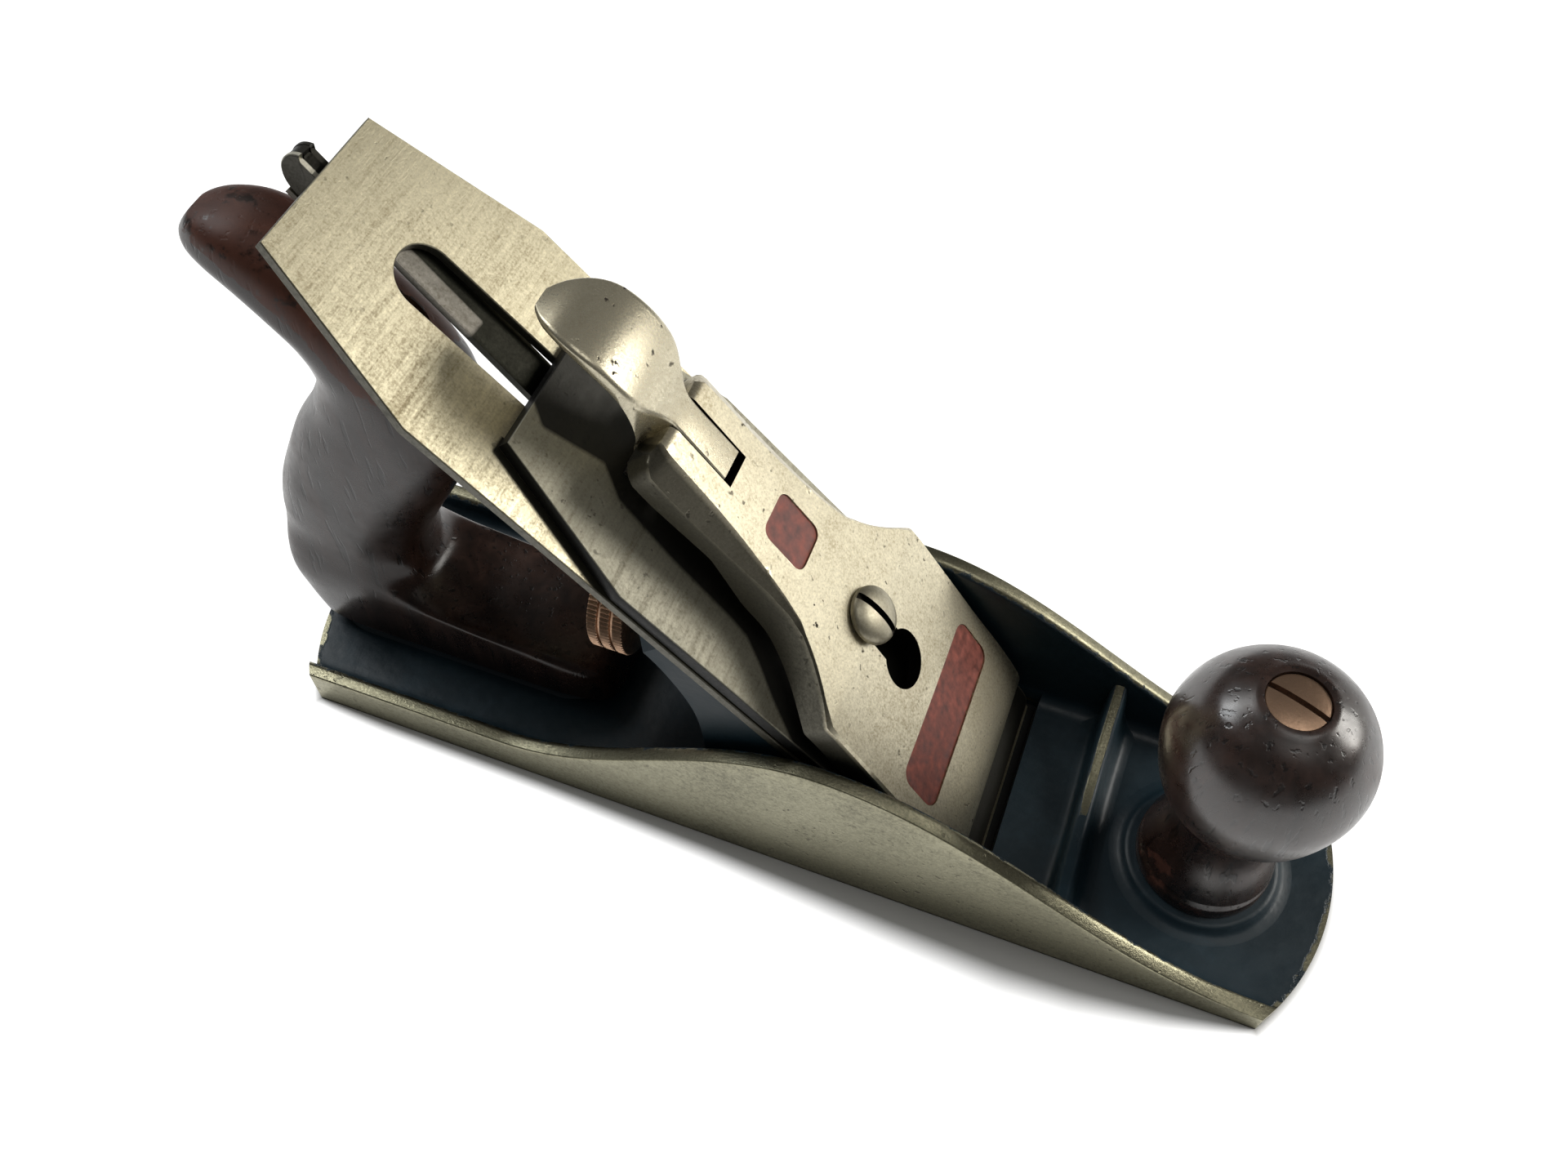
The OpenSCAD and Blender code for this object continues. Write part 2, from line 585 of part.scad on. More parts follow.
// Deflector: humped front piece of the cap iron, its edge close to the cutting edge
module cap_iron_deflector() color(plate_steel) difference() {
    across(-cap_half, cap_half) polygon([for (p = concat(
        [[edge_s + 1.2, 0.02], [edge_s + 4.4, 0.02], [edge_s + 7.5, 1.1], [hook_s - 5, 1.1],
            [hook_s - 3, 0.02], [hook_s + 4.1, 0.02], [hook_s + 4.1, cap_t / 2 - 0.02],
            [hook_s - 0.05, cap_t / 2 - 0.02], [hook_s - 0.05, cap_t]],
        smooth([[edge_s + 9, cap_t], [edge_s + 5.5, cap_t - 0.5], [edge_s + 3, cap_t - 1.5],
            [edge_s + 1.2, 0.3]], 5))) bed_xz(p[0], p[1])]);
}

// Cap iron screw: broad slotted head behind the iron, thread into the cap iron
cap_bolt_r = 3.4;
module cap_iron_screw() color(dark_steel) on_bed() translate([cap_head_s, 0, 0]) difference() {
    union() {
        translate([0, 0, -iron_t - 3.8]) cylinder(r = 10.4, h = 3.8 - 0.02);
        translate([0, 0, -iron_t - 0.5]) cylinder(r = cap_bolt_r - 0.02, h = iron_t + cap_t + 0.3);
    }
    translate([-12, -0.7, -iron_t - 4.8]) cube([24, 1.4, 2.4]);
}

// Lever cap: side view in s and n, plan in s and half width
face_s = 62;
face_n = 15.6;
upper_slope = 0.104;
lower_slope = 0.17;
function face_at(s) = face_n + (s > face_s ? upper_slope : lower_slope) * (s - face_s);
under_n = cap_t + slide_gap;
spring_t = 0.8;
spring_n = under_n + 0.1;
module lever_side() {
    polygon(concat([[lever_bottom, under_n], [lever_bottom, under_n + 0.9]],
        smooth([[lever_bottom + 0.3, under_n + 1.4], [lever_bottom + 2.6, under_n + 3],
            [lever_bottom + 7, face_at(lever_bottom + 7) - 0.4],
            [lever_bottom + 13, face_at(lever_bottom + 13)]], 4),
        [[face_s, face_n], [lever_top - 1.5, face_at(lever_top - 1.5)],
            [lever_top, face_at(lever_top) - 1.5], [lever_top, 12.6], [lever_top - 8, 12],
            [98, 12], [93, 10.4], [86, 8.2], [60, 8], [34, under_n]]));
}
lever_flank = smooth([[61.8, lever_w / 2], [67.5, lever_w / 2 - 5], [72.6, lever_w / 2 - 8.6],
    [78.2, lever_w / 2 - 11.3], [84, lever_neck_w / 2 + 0.2], [91, lever_neck_w / 2],
    [lever_top - 6, lever_neck_w / 2]], 5);
module lever_plan() {
    tip = [[lever_top - 2, lever_neck_w / 2 - 1.6], [lever_top, lever_neck_w / 2 - 4.4]];
    half = concat([[lever_bottom - 1, lever_w / 2], [54, lever_w / 2]], lever_flank, tip);
    polygon(concat(half, [for (i = [len(half) - 1 : -1 : 0]) [half[i][0], -half[i][1]]]));
}
badge_n = 0.7;
keyhole_l = 13.4;
keyhole_r = screw_head_r + 0.2;
rivet_s = 76;
spring_rivet_r = 2;
// Sunk panel of the face with rounded corners, its floor parallel to the face
module face_panel(s_mid, length, width, r, slope, depth) {
    translate([s_mid, 0, face_at(s_mid) - depth]) rotate([0, -atan(slope), 0])
        linear_extrude(6) {
            square([length - 2 * r, width], center = true);
            square([length, width - 2 * r], center = true);
            for (x = [r - length / 2, length / 2 - r], y = [r - width / 2, width / 2 - r])
                translate([x, y]) circle(r = r);
        }
}
ear_slot = 7.4;
module lever_cap() color(nickel) difference() {
    on_bed() difference() {
        intersection() {
            linear_extrude(40) lever_plan();
            translate([0, 40, 0]) rotate([90, 0, 0]) linear_extrude(80) lever_side();
        }
        // Hollow under the shell
        translate([0, lever_w / 2 - lever_wall, 0]) rotate([90, 0, 0])
            linear_extrude(lever_w - 2 * lever_wall) polygon([[lever_bottom + 6, 0],
                [lever_bottom + 6, under_n + 1.2],
                [lever_bottom + 14, face_at(lever_bottom + 14) - lever_wall],
                [face_s, face_n - lever_wall], [64.5, face_n - lever_wall], [64.5, 0]]);
        translate([64, -lever_neck_w / 2 + lever_wall + 0.4, 0])
            cube([31, lever_neck_w - 2 * lever_wall - 0.8, face_n - lever_wall]);
        // Keyhole
        bed_slot(screw_s - keyhole_l, screw_s + 0.4, -1, 40, screw_r + 0.5);
        bed_cyl(screw_s - keyhole_l, -1, 40, keyhole_r);
        // Slot of the cam lever between the ears
        translate([cam_s - 9, -ear_slot / 2, 0]) cube([40, ear_slot, 40]);
        translate([cam_s, 30, cam_n]) rotate([90, 0, 0]) cylinder(r = cam_pin_r, h = 60);
        // Long flat chamfers of the upper part
        for (m = [0, 1]) mirror([0, m, 0]) translate([77, lever_neck_w / 2 - 0.4, face_at(77)])
            rotate([0, -atan(upper_slope), 0]) rotate([0, 0, -6.6]) rotate([-45, 0, 0])
                cube([60, 14, 14]);
        face_panel(88.8, 12, 10.4, 2.2, upper_slope, badge_n);
        face_panel(31.6, 12.2, 39.6, 3, lower_slope, badge_n);
        bed_cyl(rivet_s, under_n - 1, face_n - lever_wall + 2.4, spring_rivet_r);
    }
}

// Cam lever: cam block between the ears and an arched thumb piece
cam_n = 16;
cam_pin_r = 1.8;
cam_half = 3.4;
cam_r = 7.6;
arch_top = 25;
module cam_lever() color(nickel) on_bed() difference() {
    union() {
        translate([0, cam_half, 0]) rotate([90, 0, 0]) linear_extrude(2 * cam_half) union() {
            polygon([[cam_s - 7.1, cam_n - 1], [cam_s - 7.1, face_at(cam_s - 7.1)],
                [cam_s + 7, face_at(cam_s + 7)], [cam_s + 11, 23], [cam_s + 13.5, 21.6],
                [cam_s + 8, 16.5], [cam_s + 4.5, 12]]);
            translate([cam_s, spring_n + spring_t + 0.05 + cam_r]) circle(r = cam_r);
        }
        intersection() {
            translate([0, thumb_w / 2, 0]) rotate([90, 0, 0]) linear_extrude(thumb_w)
                polygon(concat(thumb_arch(0), [for (i = [len(thumb_arch(0)) - 1 : -1 : 0])
                    thumb_arch(3)[i]]));
            linear_extrude(60) thumb_plan();
        }
    }
    translate([cam_s, 30, cam_n]) rotate([90, 0, 0]) cylinder(r = cam_pin_r + run_gap, h = 60);
}
// Arch of the thumb piece in s and n, lowered by d
function thumb_arch(d) = [for (p = smooth([[cam_s + 6, face_at(cam_s + 6)], [cam_s + 11, 23],
    [cam_s + 17, 24.6], [cam_s + 24, arch_top], [cam_s + 31, 22.4], [cam_s + 35.5, 18.4]], 5))
    [p[0] - d * 0.25, p[1] - d]];
module thumb_plan() {
    half = concat([[cam_s + 3, cam_half]], smooth([[cam_s + 7.4, cam_half], [cam_s + 11, cam_half + 1.8],
        [cam_s + 16, thumb_w / 2 - 0.8], [cam_s + 22, thumb_w / 2], [cam_s + 29, thumb_w / 2 - 0.4],
        [cam_s + 34, thumb_w / 2 - 3], [cam_s + 36, 1]], 5));
    polygon(concat(half, [for (i = [len(half) - 1 : -1 : 0]) [half[i][0], -half[i][1]]]));
}

module cam_pin() color(dark_steel) on_bed()
    translate([cam_s, lever_neck_w / 2 - 0.4, cam_n]) rotate([90, 0, 0])
        cylinder(r = cam_pin_r - 0.01, h = lever_neck_w - 0.8);

// Flat spring under the lever cap, and its rivet
module lever_cap_spring() color(dark_steel) on_bed() difference() {
    union() {
        bed_cyl(rivet_s, spring_n, spring_n + spring_t, 5);
        translate([rivet_s, -5, spring_n]) cube([cam_s + 3 - rivet_s, 10, spring_t]);
    }
    bed_cyl(rivet_s, 0, 20, spring_rivet_r - 0.4);
}

module spring_rivet() color(dark_steel) on_bed() {
    bed_cyl(rivet_s, spring_n, face_n - lever_wall + 2.3, spring_rivet_r - 0.42);
    bed_cyl(rivet_s, spring_n + spring_t + 0.02, face_n - lever_wall + 2.3, spring_rivet_r - 0.01);
}

// Knob: foot with a bead, waist and flattened ball, turned round its bolt
knob_k = knob_h / 65.6;
knob_profile = concat([[0, 0], [knob_foot_r - 0.6, 0], [knob_foot_r, 0.8], [knob_foot_r, 3.4 * knob_k],
    [knob_foot_r - 0.9, 4.6 * knob_k], [knob_foot_r - 0.9, 5.2 * knob_k]],
    smooth([[knob_foot_r - 0.3, 6 * knob_k], [knob_foot_r - 1.4, 10 * knob_k],
        [knob_foot_r - 3.1, 16 * knob_k], [knob_foot_r - 3.4, 21 * knob_k],
        [knob_foot_r - 2.4, 26.4 * knob_k], [knob_foot_r + 0.6, 31.4 * knob_k],
        [knob_r - 1.6, 38 * knob_k], [knob_r, 47.4 * knob_k], [knob_r - 1.7, 55.4 * knob_k],
        [knob_r - 6.2, 62 * knob_k], [nut_r + 1.6, knob_h]], 5), [[0, knob_h]]);
nut_l = 9;
module knob() color(rosewood) translate([knob_x, 0, knob_seat]) difference() {
    rotate_extrude($fn = 96) polygon(knob_profile);
    translate([0, 0, -1]) cylinder(r = bolt_r + wood_gap, h = knob_h + 2);
    translate([0, 0, -1]) cylinder(r = 5.3, h = 7.4);
    translate([0, 0, knob_h - 3]) cylinder(r = nut_r + 0.02, h = 10);
    translate([0, 0, knob_h - nut_l]) cylinder(r = nut_stem_r + wood_gap, h = 20);
}

module round_nut(fl) {
    difference() {
        union() {
            rotate_extrude() polygon([[0, -2.6], [nut_r, -2.6], [nut_r, 0],
                [nut_r - 1.4, 0.5], [0, 0.7]]);
            translate([0, 0, -fl]) cylinder(r = nut_stem_r, h = fl - 1);
        }
        translate([0, 0, -fl - 1]) cylinder(r = bolt_r + 0.02, h = fl - 1);
        rotate([0, 0, -19]) translate([-8, -0.6, -1.1]) cube([16, 1.2, 4]);
    }
}
module knob_nut() color(brass) translate([knob_x, 0, knob_seat + knob_h - 0.3]) round_nut(nut_l - 0.5);

module knob_bolt() color(dark_steel)
    translate([knob_x, 0, 2]) cylinder(r = bolt_r - 0.01, h = knob_seat + knob_h - 6.4);

// Tote: stations from its foot to its horn, each the ends of a section at the back and front as
// distances from the heel and heights over the seat
tote_ends = [for (p = smooth([[0, 0, 76, 0], [-1.4, 4, 75.6, 4.5], [-2.4, 8, 72, 9.1],
    [-3.1, 12, 62, 12.1], [-3.6, 16, 50, 13.5], [-3.8, 20.5, 39, 14.9], [-3.8, 25.5, 30.4, 18.9],
    [-3.2, 32.5, 29.6, 28], [-0.6, 41.5, 35, 39], [3.6, 50.5, 41, 49.5], [9.4, 61.5, 46.8, 61],
    [15.6, 70.5, 50, 71.1], [20, 79.1, 49.6, 79.9], [20.6, 84.9, 45.8, 86.5],
    [18.8, 90.7, 40, 93.1], [14.6, 95.3, 33, 100.1], [10, 98.5, 25.4, 107.1],
    [5.2, 101.3, 16.6, 111.1], [1.8, 103.6, 9.2, 111.5], [0.4, 106.4, 3.6, 110.2]], 2))
    [p[0] * tote_k - toe_x, p[1] * tote_k + tote_seat, p[2] * tote_k - toe_x, p[3] * tote_k + tote_seat]];
// Half the width of the tote and the roundness of its section, by the height of its centre
function foot_share(z) = 1 - swell(((z - tote_seat) / tote_k - 11.5) / 18);
function horn_share(z) = swell(((z - tote_seat) / tote_k - 83.5) / 26);
function tote_half(z) = tote_w / 2 + (tote_foot_w - tote_w) / 2 * foot_share(z) - horn_share(z);
function tote_round(z) = 0.82 - 0.52 * foot_share(z) - 0.12 * horn_share(z);
// The end of the horn closes like a ball over its last sections
function tip_share(row) = let (t = max(0, (row / (len(tote_ends) - 1) - 0.74) / 0.26)) sqrt(1 - 0.93 * t * t);
function power(v, e) = sign(v) * pow(abs(v), e);
tote_turns = 32;
tote_points = [for (row = [0 : len(tote_ends) - 1], k = [0 : tote_turns - 1])
    let (st = tote_ends[row], a = 360 * (k + 0.5) / tote_turns, z = (st[1] + st[3]) / 2,
        e = tote_round(z), u = power(cos(a), e))
    [(st[0] + st[2] + u * (st[2] - st[0])) / 2, tote_half(z) * tip_share(row) * power(sin(a), e),
        (st[1] + st[3] + u * (st[3] - st[1])) / 2]];
tote_rows = len(tote_ends);
module tote() color(rosewood) difference() {
    polyhedron(tote_points, concat([[for (k = [0 : tote_turns - 1]) k]],
        [for (i = [0 : tote_rows - 2], k = [0 : tote_turns - 1]) let (j = (k + 1) % tote_turns)
            [i * tote_turns + k, (i + 1) * tote_turns + k, (i + 1) * tote_turns + j, i * tote_turns + j]],
        [[for (k = [tote_turns - 1 : -1 : 0]) (tote_rows - 1) * tote_turns + k]]));
    at_tote_bolt() {
        translate([0, 0, -20]) cylinder(r = bolt_r + wood_gap, h = 200);
        translate([0, 0, tote_nut_z - 3]) cylinder(r = nut_r + 0.02, h = 40);
        translate([0, 0, tote_nut_z - nut_l]) cylinder(r = nut_stem_r + wood_gap, h = 40);
    }
}

tote_nut_z = 95.5 * tote_k;
module tote_nut() color(brass) at_tote_bolt() translate([0, 0, tote_nut_z - 0.3]) round_nut(nut_l - 0.5);

module tote_bolt() color(dark_steel) at_tote_bolt()
    translate([0, 0, -5.4]) cylinder(r = bolt_r - 0.01, h = tote_nut_z + 1);

body_casting();
frog();
frog_screws();
frog_screw_washers();
frog_adjusting_screw();
frog_adjusting_clip();
clip_screw();
lever_cap_screw();
yoke();
yoke_pin();
depth_wheel();
depth_wheel_stud();
lateral_lever();
lateral_roller();
lateral_rivet();
cutting_iron();
cap_iron();
cap_iron_deflector();
cap_iron_screw();
lever_cap();
cam_lever();
cam_pin();
lever_cap_spring();
spring_rivet();
knob();
knob_bolt();
knob_nut();
tote();
tote_bolt();
tote_nut();
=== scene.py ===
"""Looks of a smoothing plane: an iron body, hardwood knob and tote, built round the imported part.

Lengths in this file are millimetres in the frame of the part, +X to the toe, +Z up, and are
turned to metres where a mesh is made. Places on the iron are given as (s, y, n): s is the
distance up the bed from the mouth, y is across the plane, n is the height out of the iron's face.
"""
import math

import bpy
import numpy as np
from bpy.props import FloatProperty, FloatVectorProperty, IntProperty, PointerProperty
from mathutils import Matrix, Vector


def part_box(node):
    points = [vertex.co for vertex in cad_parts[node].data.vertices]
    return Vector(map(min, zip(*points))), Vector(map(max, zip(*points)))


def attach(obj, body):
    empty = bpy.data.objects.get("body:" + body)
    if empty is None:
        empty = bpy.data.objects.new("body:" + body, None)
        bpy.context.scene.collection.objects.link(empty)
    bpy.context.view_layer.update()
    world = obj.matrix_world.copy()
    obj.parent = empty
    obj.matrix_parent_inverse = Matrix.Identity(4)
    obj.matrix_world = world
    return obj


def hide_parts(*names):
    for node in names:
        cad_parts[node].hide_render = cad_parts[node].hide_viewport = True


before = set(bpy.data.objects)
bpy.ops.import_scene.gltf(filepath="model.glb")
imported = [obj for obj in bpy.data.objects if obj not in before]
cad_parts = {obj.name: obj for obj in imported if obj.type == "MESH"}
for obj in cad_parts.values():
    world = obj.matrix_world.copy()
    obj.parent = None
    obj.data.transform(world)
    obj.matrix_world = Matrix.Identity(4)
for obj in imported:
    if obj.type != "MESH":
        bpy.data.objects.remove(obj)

bl_info = {
    "name": "Smoothing plane",
    "version": (1, 0, 0),
    "blender": (4, 5, 0),
    "location": "View3D > Sidebar > Plane",
    "description": "Builds the visible pieces and finishes of an iron smoothing plane",
    "category": "Object",
}

MM = 0.001
WHITE = (1.0, 1.0, 1.0, 1.0)


def cad_box(node):
    """Lowest and highest corner of a node of the part, in millimetres."""
    low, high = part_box(node)
    return np.array(low) / MM, np.array(high) / MM


# Sizes of the part: read from it, or as in its source

_, BODY_HIGH = cad_box("body_casting")
KNOB_LOW, KNOB_HIGH = cad_box("knob")
WHEEL_LOW, WHEEL_HIGH = cad_box("depth_wheel")
HALF_W = BODY_HIGH[1]
KNOB_X = (KNOB_LOW[0] + KNOB_HIGH[0]) / 2
WHEEL_Z = (WHEEL_LOW[2] + WHEEL_HIGH[2]) / 2
TOE_X, END_BULGE = 117.0, 9.5
SOLE_T, CHEEK_T = 4.2, 3.7
HEEL_H, TOE_H, RISE_X = 10.2, 5.6, -60.0
MOUTH_X, MOUTH_GAP = 46.4, 1.2
BED = math.radians(45.0)
GRIND = math.radians(25.0)
EDGE_S = 0.6
IRON_T, IRON_TOP, IRON_HEAD = 2.2, EDGE_S + 185.7, 34.0
IRON_HALF, IRON_TOP_HALF = 25.4, 16.35
BED_N = -IRON_T - 0.05
RAMP_N = BED_N - 0.74
CAP_TOP, CAP_SHOULDER, CAP_LOW, CAP_T = 137.7, 106.0, 23.0, 3.2
CAP_HALF, CAP_TOP_HALF = 25.0, 16.2
SCREW_S, CAM_S, PIVOT_S = 63.8, 114.0, 102.5


# Shape tools


def bed(s, y, n):
    """Points of the part for places on the bed: s runs back and up the slope, n leaves it forwards."""
    s, y, n = np.broadcast_arrays(s, y, n)
    return np.stack([MOUTH_X - s * math.cos(BED) + n * math.sin(BED), y,
                     s * math.sin(BED) + n * math.cos(BED)], -1).astype(float)


def swell(t):
    """Raised cosine from 0 at t = 0 to 1 at t = 1, level at both ends."""
    return (1 - np.cos(np.pi * np.clip(t, 0, 1))) / 2


def spline(knots, steps):
    """A smooth curve through the knots: on each stretch a cubic whose slope at a knot is half the
    difference of its neighbours. It has the given number of steps on each stretch."""
    p = np.asarray(knots, float)
    before = np.concatenate([p[:1], p[:-2]])
    after = np.concatenate([p[2:], p[-1:]])
    t = (np.arange(steps) / steps)[None, :, None]
    a, b, c, d = (q[:, None, :] for q in (before, p[:-1], p[1:], after))
    curve = 0.5 * (2 * b + (c - a) * t + (2 * a - 5 * b + 4 * c - d) * t ** 2
                   + (3 * b - a - 3 * c + d) * t ** 3)
    return np.concatenate([curve.reshape(-1, p.shape[1]), p[-1:]])


def resample(knots, count):
    """The spline through the knots, at points an equal distance apart along it."""
    fine = spline(knots, 24)
    run = np.concatenate([[0], np.cumsum(np.linalg.norm(np.diff(fine, axis=0), axis=1))])
    at = np.linspace(0, run[-1], count)
    return np.stack([np.interp(at, run, column) for column in fine.T], -1)


def rounded_rect(half_a, half_b, radius, steps=4):
    """A closed loop round a rectangle, its four corners being quarter circles of the radius.
    The sizes may be arrays, which gives one loop for each entry."""
    half_a, half_b, radius = (np.asarray(v, float)[..., None] for v in (half_a, half_b, radius))
    turn = np.linspace(0, np.pi / 2, steps + 1)
    a, b = [], []
    for quarter, (sa, sb) in enumerate([(1, 1), (-1, 1), (-1, -1), (1, -1)]):
        angle = turn + quarter * np.pi / 2
        a.append(sa * (half_a - radius) + radius * np.cos(angle))
        b.append(sb * (half_b - radius) + radius * np.sin(angle))
    return np.concatenate(a, -1), np.concatenate(b, -1)


def strip_faces(first, second):
    """Quads between two equally long rows of vertex numbers."""
    return np.stack([first[:-1], first[1:], second[1:], second[:-1]], -1)


def grid_faces(number, closed_rows=False, closed_columns=False):
    """Quads of a grid of vertex numbers, joined round where a direction is closed."""
    if closed_columns:
        number = np.concatenate([number, number[:, :1]], 1)
    if closed_rows:
        number = np.concatenate([number, number[:1]], 0)
    return np.stack([number[:-1, :-1], number[:-1, 1:], number[1:, 1:], number[1:, :-1]], -1).reshape(-1, 4)


def make_mesh(name, points, faces, values):
    """A mesh of vertices in millimetres and a list of face arrays.
    values maps the name of a point attribute to one number for each vertex."""
    mesh = bpy.data.meshes.new(name)
    mesh.from_pydata((np.asarray(points, float) * MM).tolist(), [],
                     [face for block in faces for face in block.tolist()])
    for key, data in (values or {}).items():
        store(mesh, key, data)
    mesh.validate()
    return mesh


def store(mesh, key, data):
    """Gives the mesh a point attribute, from one number for each vertex."""
    layer = mesh.attributes.new(key, "FLOAT", "POINT")
    layer.data.foreach_set("value", np.asarray(data, np.float32).ravel())


def points_of(mesh):
    """The vertices of a mesh as rows, in metres."""
    points = np.zeros(len(mesh.vertices) * 3)
    mesh.vertices.foreach_get("co", points)
    return points.reshape(-1, 3)


def outward(mesh):
    """Turns the faces of a closed mesh outwards: they are flipped if its signed volume is negative."""
    mesh.calc_loop_triangles()
    corner = np.zeros(len(mesh.loop_triangles) * 3, np.int64)
    mesh.loop_triangles.foreach_get("vertices", corner)
    a, b, c = np.moveaxis(points_of(mesh)[corner.reshape(-1, 3)], 1, 0)
    if np.einsum("ij,ij->i", a, np.cross(b, c)).sum() < 0:
        mesh.flip_normals()
    return mesh


def slab(name, top, under, values=None):
    """A closed piece between two sheets of equal grid shape, joined by a strip round their rim."""
    rows, columns = top.shape[:2]
    a = np.arange(rows * columns).reshape(rows, columns)
    b = a + rows * columns
    rim = [(a[0], b[0]), (a[:, -1], b[:, -1]), (a[-1, ::-1], b[-1, ::-1]), (a[::-1, 0], b[::-1, 0])]
    faces = [grid_faces(a), grid_faces(b)[:, ::-1]] + [strip_faces(q, p) for p, q in rim]
    points = np.concatenate([top.reshape(-1, 3), under.reshape(-1, 3)])
    return outward(make_mesh(name, points, faces, values))


def loft(name, loops, values=None):
    """A closed piece through a row of closed loops, with a fan of faces over the first and last."""
    rows, columns = loops.shape[:2]
    a = np.arange(rows * columns).reshape(rows, columns)
    ends = np.stack([loops[0].mean(0), loops[-1].mean(0)])
    first, last = rows * columns, rows * columns + 1
    fans = [np.stack([np.full(columns, tip), ring, np.roll(ring, -1)], -1)[:, ::way]
            for tip, ring, way in ((first, a[0], -1), (last, a[-1], 1))]
    points = np.concatenate([loops.reshape(-1, 3), ends])
    if values:
        values = {key: np.concatenate([np.ravel(v), [np.mean(v[0]), np.mean(v[-1])]])
                  for key, v in values.items()}
    return outward(make_mesh(name, points, [grid_faces(a, closed_columns=True), *fans], values))


def ring(name, loops, values):
    """A closed piece that has a hole: loops closed both round the hole and round its own section."""
    rows, columns = loops.shape[:2]
    a = np.arange(rows * columns).reshape(rows, columns)
    return outward(make_mesh(name, loops.reshape(-1, 3), [grid_faces(a, True, True)], values))


def turned(name, profile, place, axis="Z", turns=96, ripple=None):
    """A piece turned on a lathe: the profile (radius, height) carried round the axis. ripple, a
    function of the angle, is added to the radius."""
    profile = np.asarray(profile, float)
    angle = np.linspace(0, 2 * np.pi, turns, endpoint=False)[None, :]
    radius, height = profile[:, :1], np.broadcast_to(profile[:, 1:], (len(profile), turns))
    radius = radius + (ripple(angle) if ripple else 0)
    u, v = radius * np.cos(angle), radius * np.sin(angle)
    xyz = (u, v, height) if axis == "Z" else (height, u, v)
    return loft(name, np.stack(np.broadcast_arrays(*xyz), -1) + np.asarray(place, float))


def on_bed_turned(name, profile, s, n):
    """A lathe-turned piece whose axis leaves the bed at right angles at distance s."""
    profile = np.asarray(profile, float)
    angle = np.linspace(0, 2 * np.pi, 64, endpoint=False)[None, :]
    return loft(name, bed(s + profile[:, :1] * np.cos(angle), profile[:, :1] * np.sin(angle),
                          n + profile[:, 1:]))


def placed(mesh, materials, body, replaces=(), sharp=35):
    """The object of a finished mesh: it rides on a body, takes a slot and stands for CAD nodes."""
    mesh.shade_smooth()
    mesh.set_sharp_from_angle(angle=math.radians(sharp))
    for material in materials:
        if material.name not in mesh.materials:
            mesh.materials.append(material)
    piece = bpy.data.objects.new(mesh.name, mesh)
    bpy.context.scene.collection.objects.link(piece)
    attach(piece, body)
    if replaces:
        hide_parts(*replaces)
    return piece


def cut(mesh, *tools):
    """The mesh less the tool meshes, worked out by a Boolean modifier and stored as a new mesh.
    The faces that a tool leaves take the tool's material if it has one."""
    scene = bpy.context.scene
    blank = bpy.data.objects.new(mesh.name + "_blank", mesh)
    scene.collection.objects.link(blank)
    cutters = []
    for tool in tools:
        cutter = bpy.data.objects.new(tool.name, tool)
        scene.collection.objects.link(cutter)
        cutters.append(cutter)
        modifier = blank.modifiers.new("cut", "BOOLEAN")
        modifier.operation, modifier.solver, modifier.object = "DIFFERENCE", "EXACT", cutter
        if len(tool.materials):
            modifier.material_mode = "TRANSFER"
    bpy.context.view_layer.update()
    result = bpy.data.meshes.new_from_object(blank.evaluated_get(bpy.context.evaluated_depsgraph_get()))
    if not len(result.polygons):
        raise RuntimeError(f"cutting {mesh.name} left nothing")
    name = mesh.name
    for spare in [blank, *cutters]:
        data = spare.data
        bpy.data.objects.remove(spare)
        bpy.data.meshes.remove(data)
    result.name = name
    return result


def joined(name, *meshes):
    """One mesh of several closed ones."""
    scene = bpy.context.scene
    objects = [bpy.data.objects.new(mesh.name, mesh) for mesh in meshes]
    for each in objects:
        scene.collection.objects.link(each)
    with bpy.context.temp_override(active_object=objects[0], selected_editable_objects=objects):
        bpy.ops.object.join()
    result = objects[0].data
    bpy.data.objects.remove(objects[0])
    result.name = name
    return result


def bed_prism(name, loop, low, high):
    """A straight bar of a flat loop (s, y) between two heights n over the bed."""
    return loft(name, np.stack([bed(loop[:, 0], loop[:, 1], n) for n in (low, high)]))


def pillar(name, loop, low, high):
    """A straight upright bar of a flat loop (x, y) between two heights."""
    return loft(name, np.stack([np.column_stack([loop, np.full(len(loop), z)]) for z in (low, high)]))


def box_loop(start, end, half):
    """A rectangle from start to end, half wide on both sides of the centre line."""
    return np.array([[start, -half], [end, -half], [end, half], [start, half]], float)


# Sizes and colours that a user may change


def length(name, text, default):
    """A size of the sidebar, in millimetres."""
    return FloatProperty(name=name, description=text, default=default, min=0, unit="NONE")


def colour(name, text, default):
    """A colour of the sidebar, in linear light."""
    return FloatVectorProperty(name=name, description=text, default=default, size=3, min=0, max=1,
                               subtype="COLOR")


class PlaneSizes(bpy.types.PropertyGroup):
    """Sizes of the visible pieces"""
    hump_h: length("Cheek height", "Height of the cheek at its hump, in mm", float(BODY_HIGH[2]))
    hump_x: FloatProperty(name="Hump place", description="Place of the hump along the body, in mm",
                          default=13.2)
    rib_h: length("Rib height", "Height of the middle of the cross rib, in mm", 10.0)
    cheek_round: length("Cheek rounding", "Radius of the inner edges of the cheeks, in mm", 1.5)
    knurls: IntProperty(name="Knurls", description="Ridges round the depth wheel", default=84, min=12)
    lateral_turn: FloatProperty(name="Lateral turn", description="Turn of the lateral lever at rest",
                                default=math.radians(3.6), subtype="ANGLE")


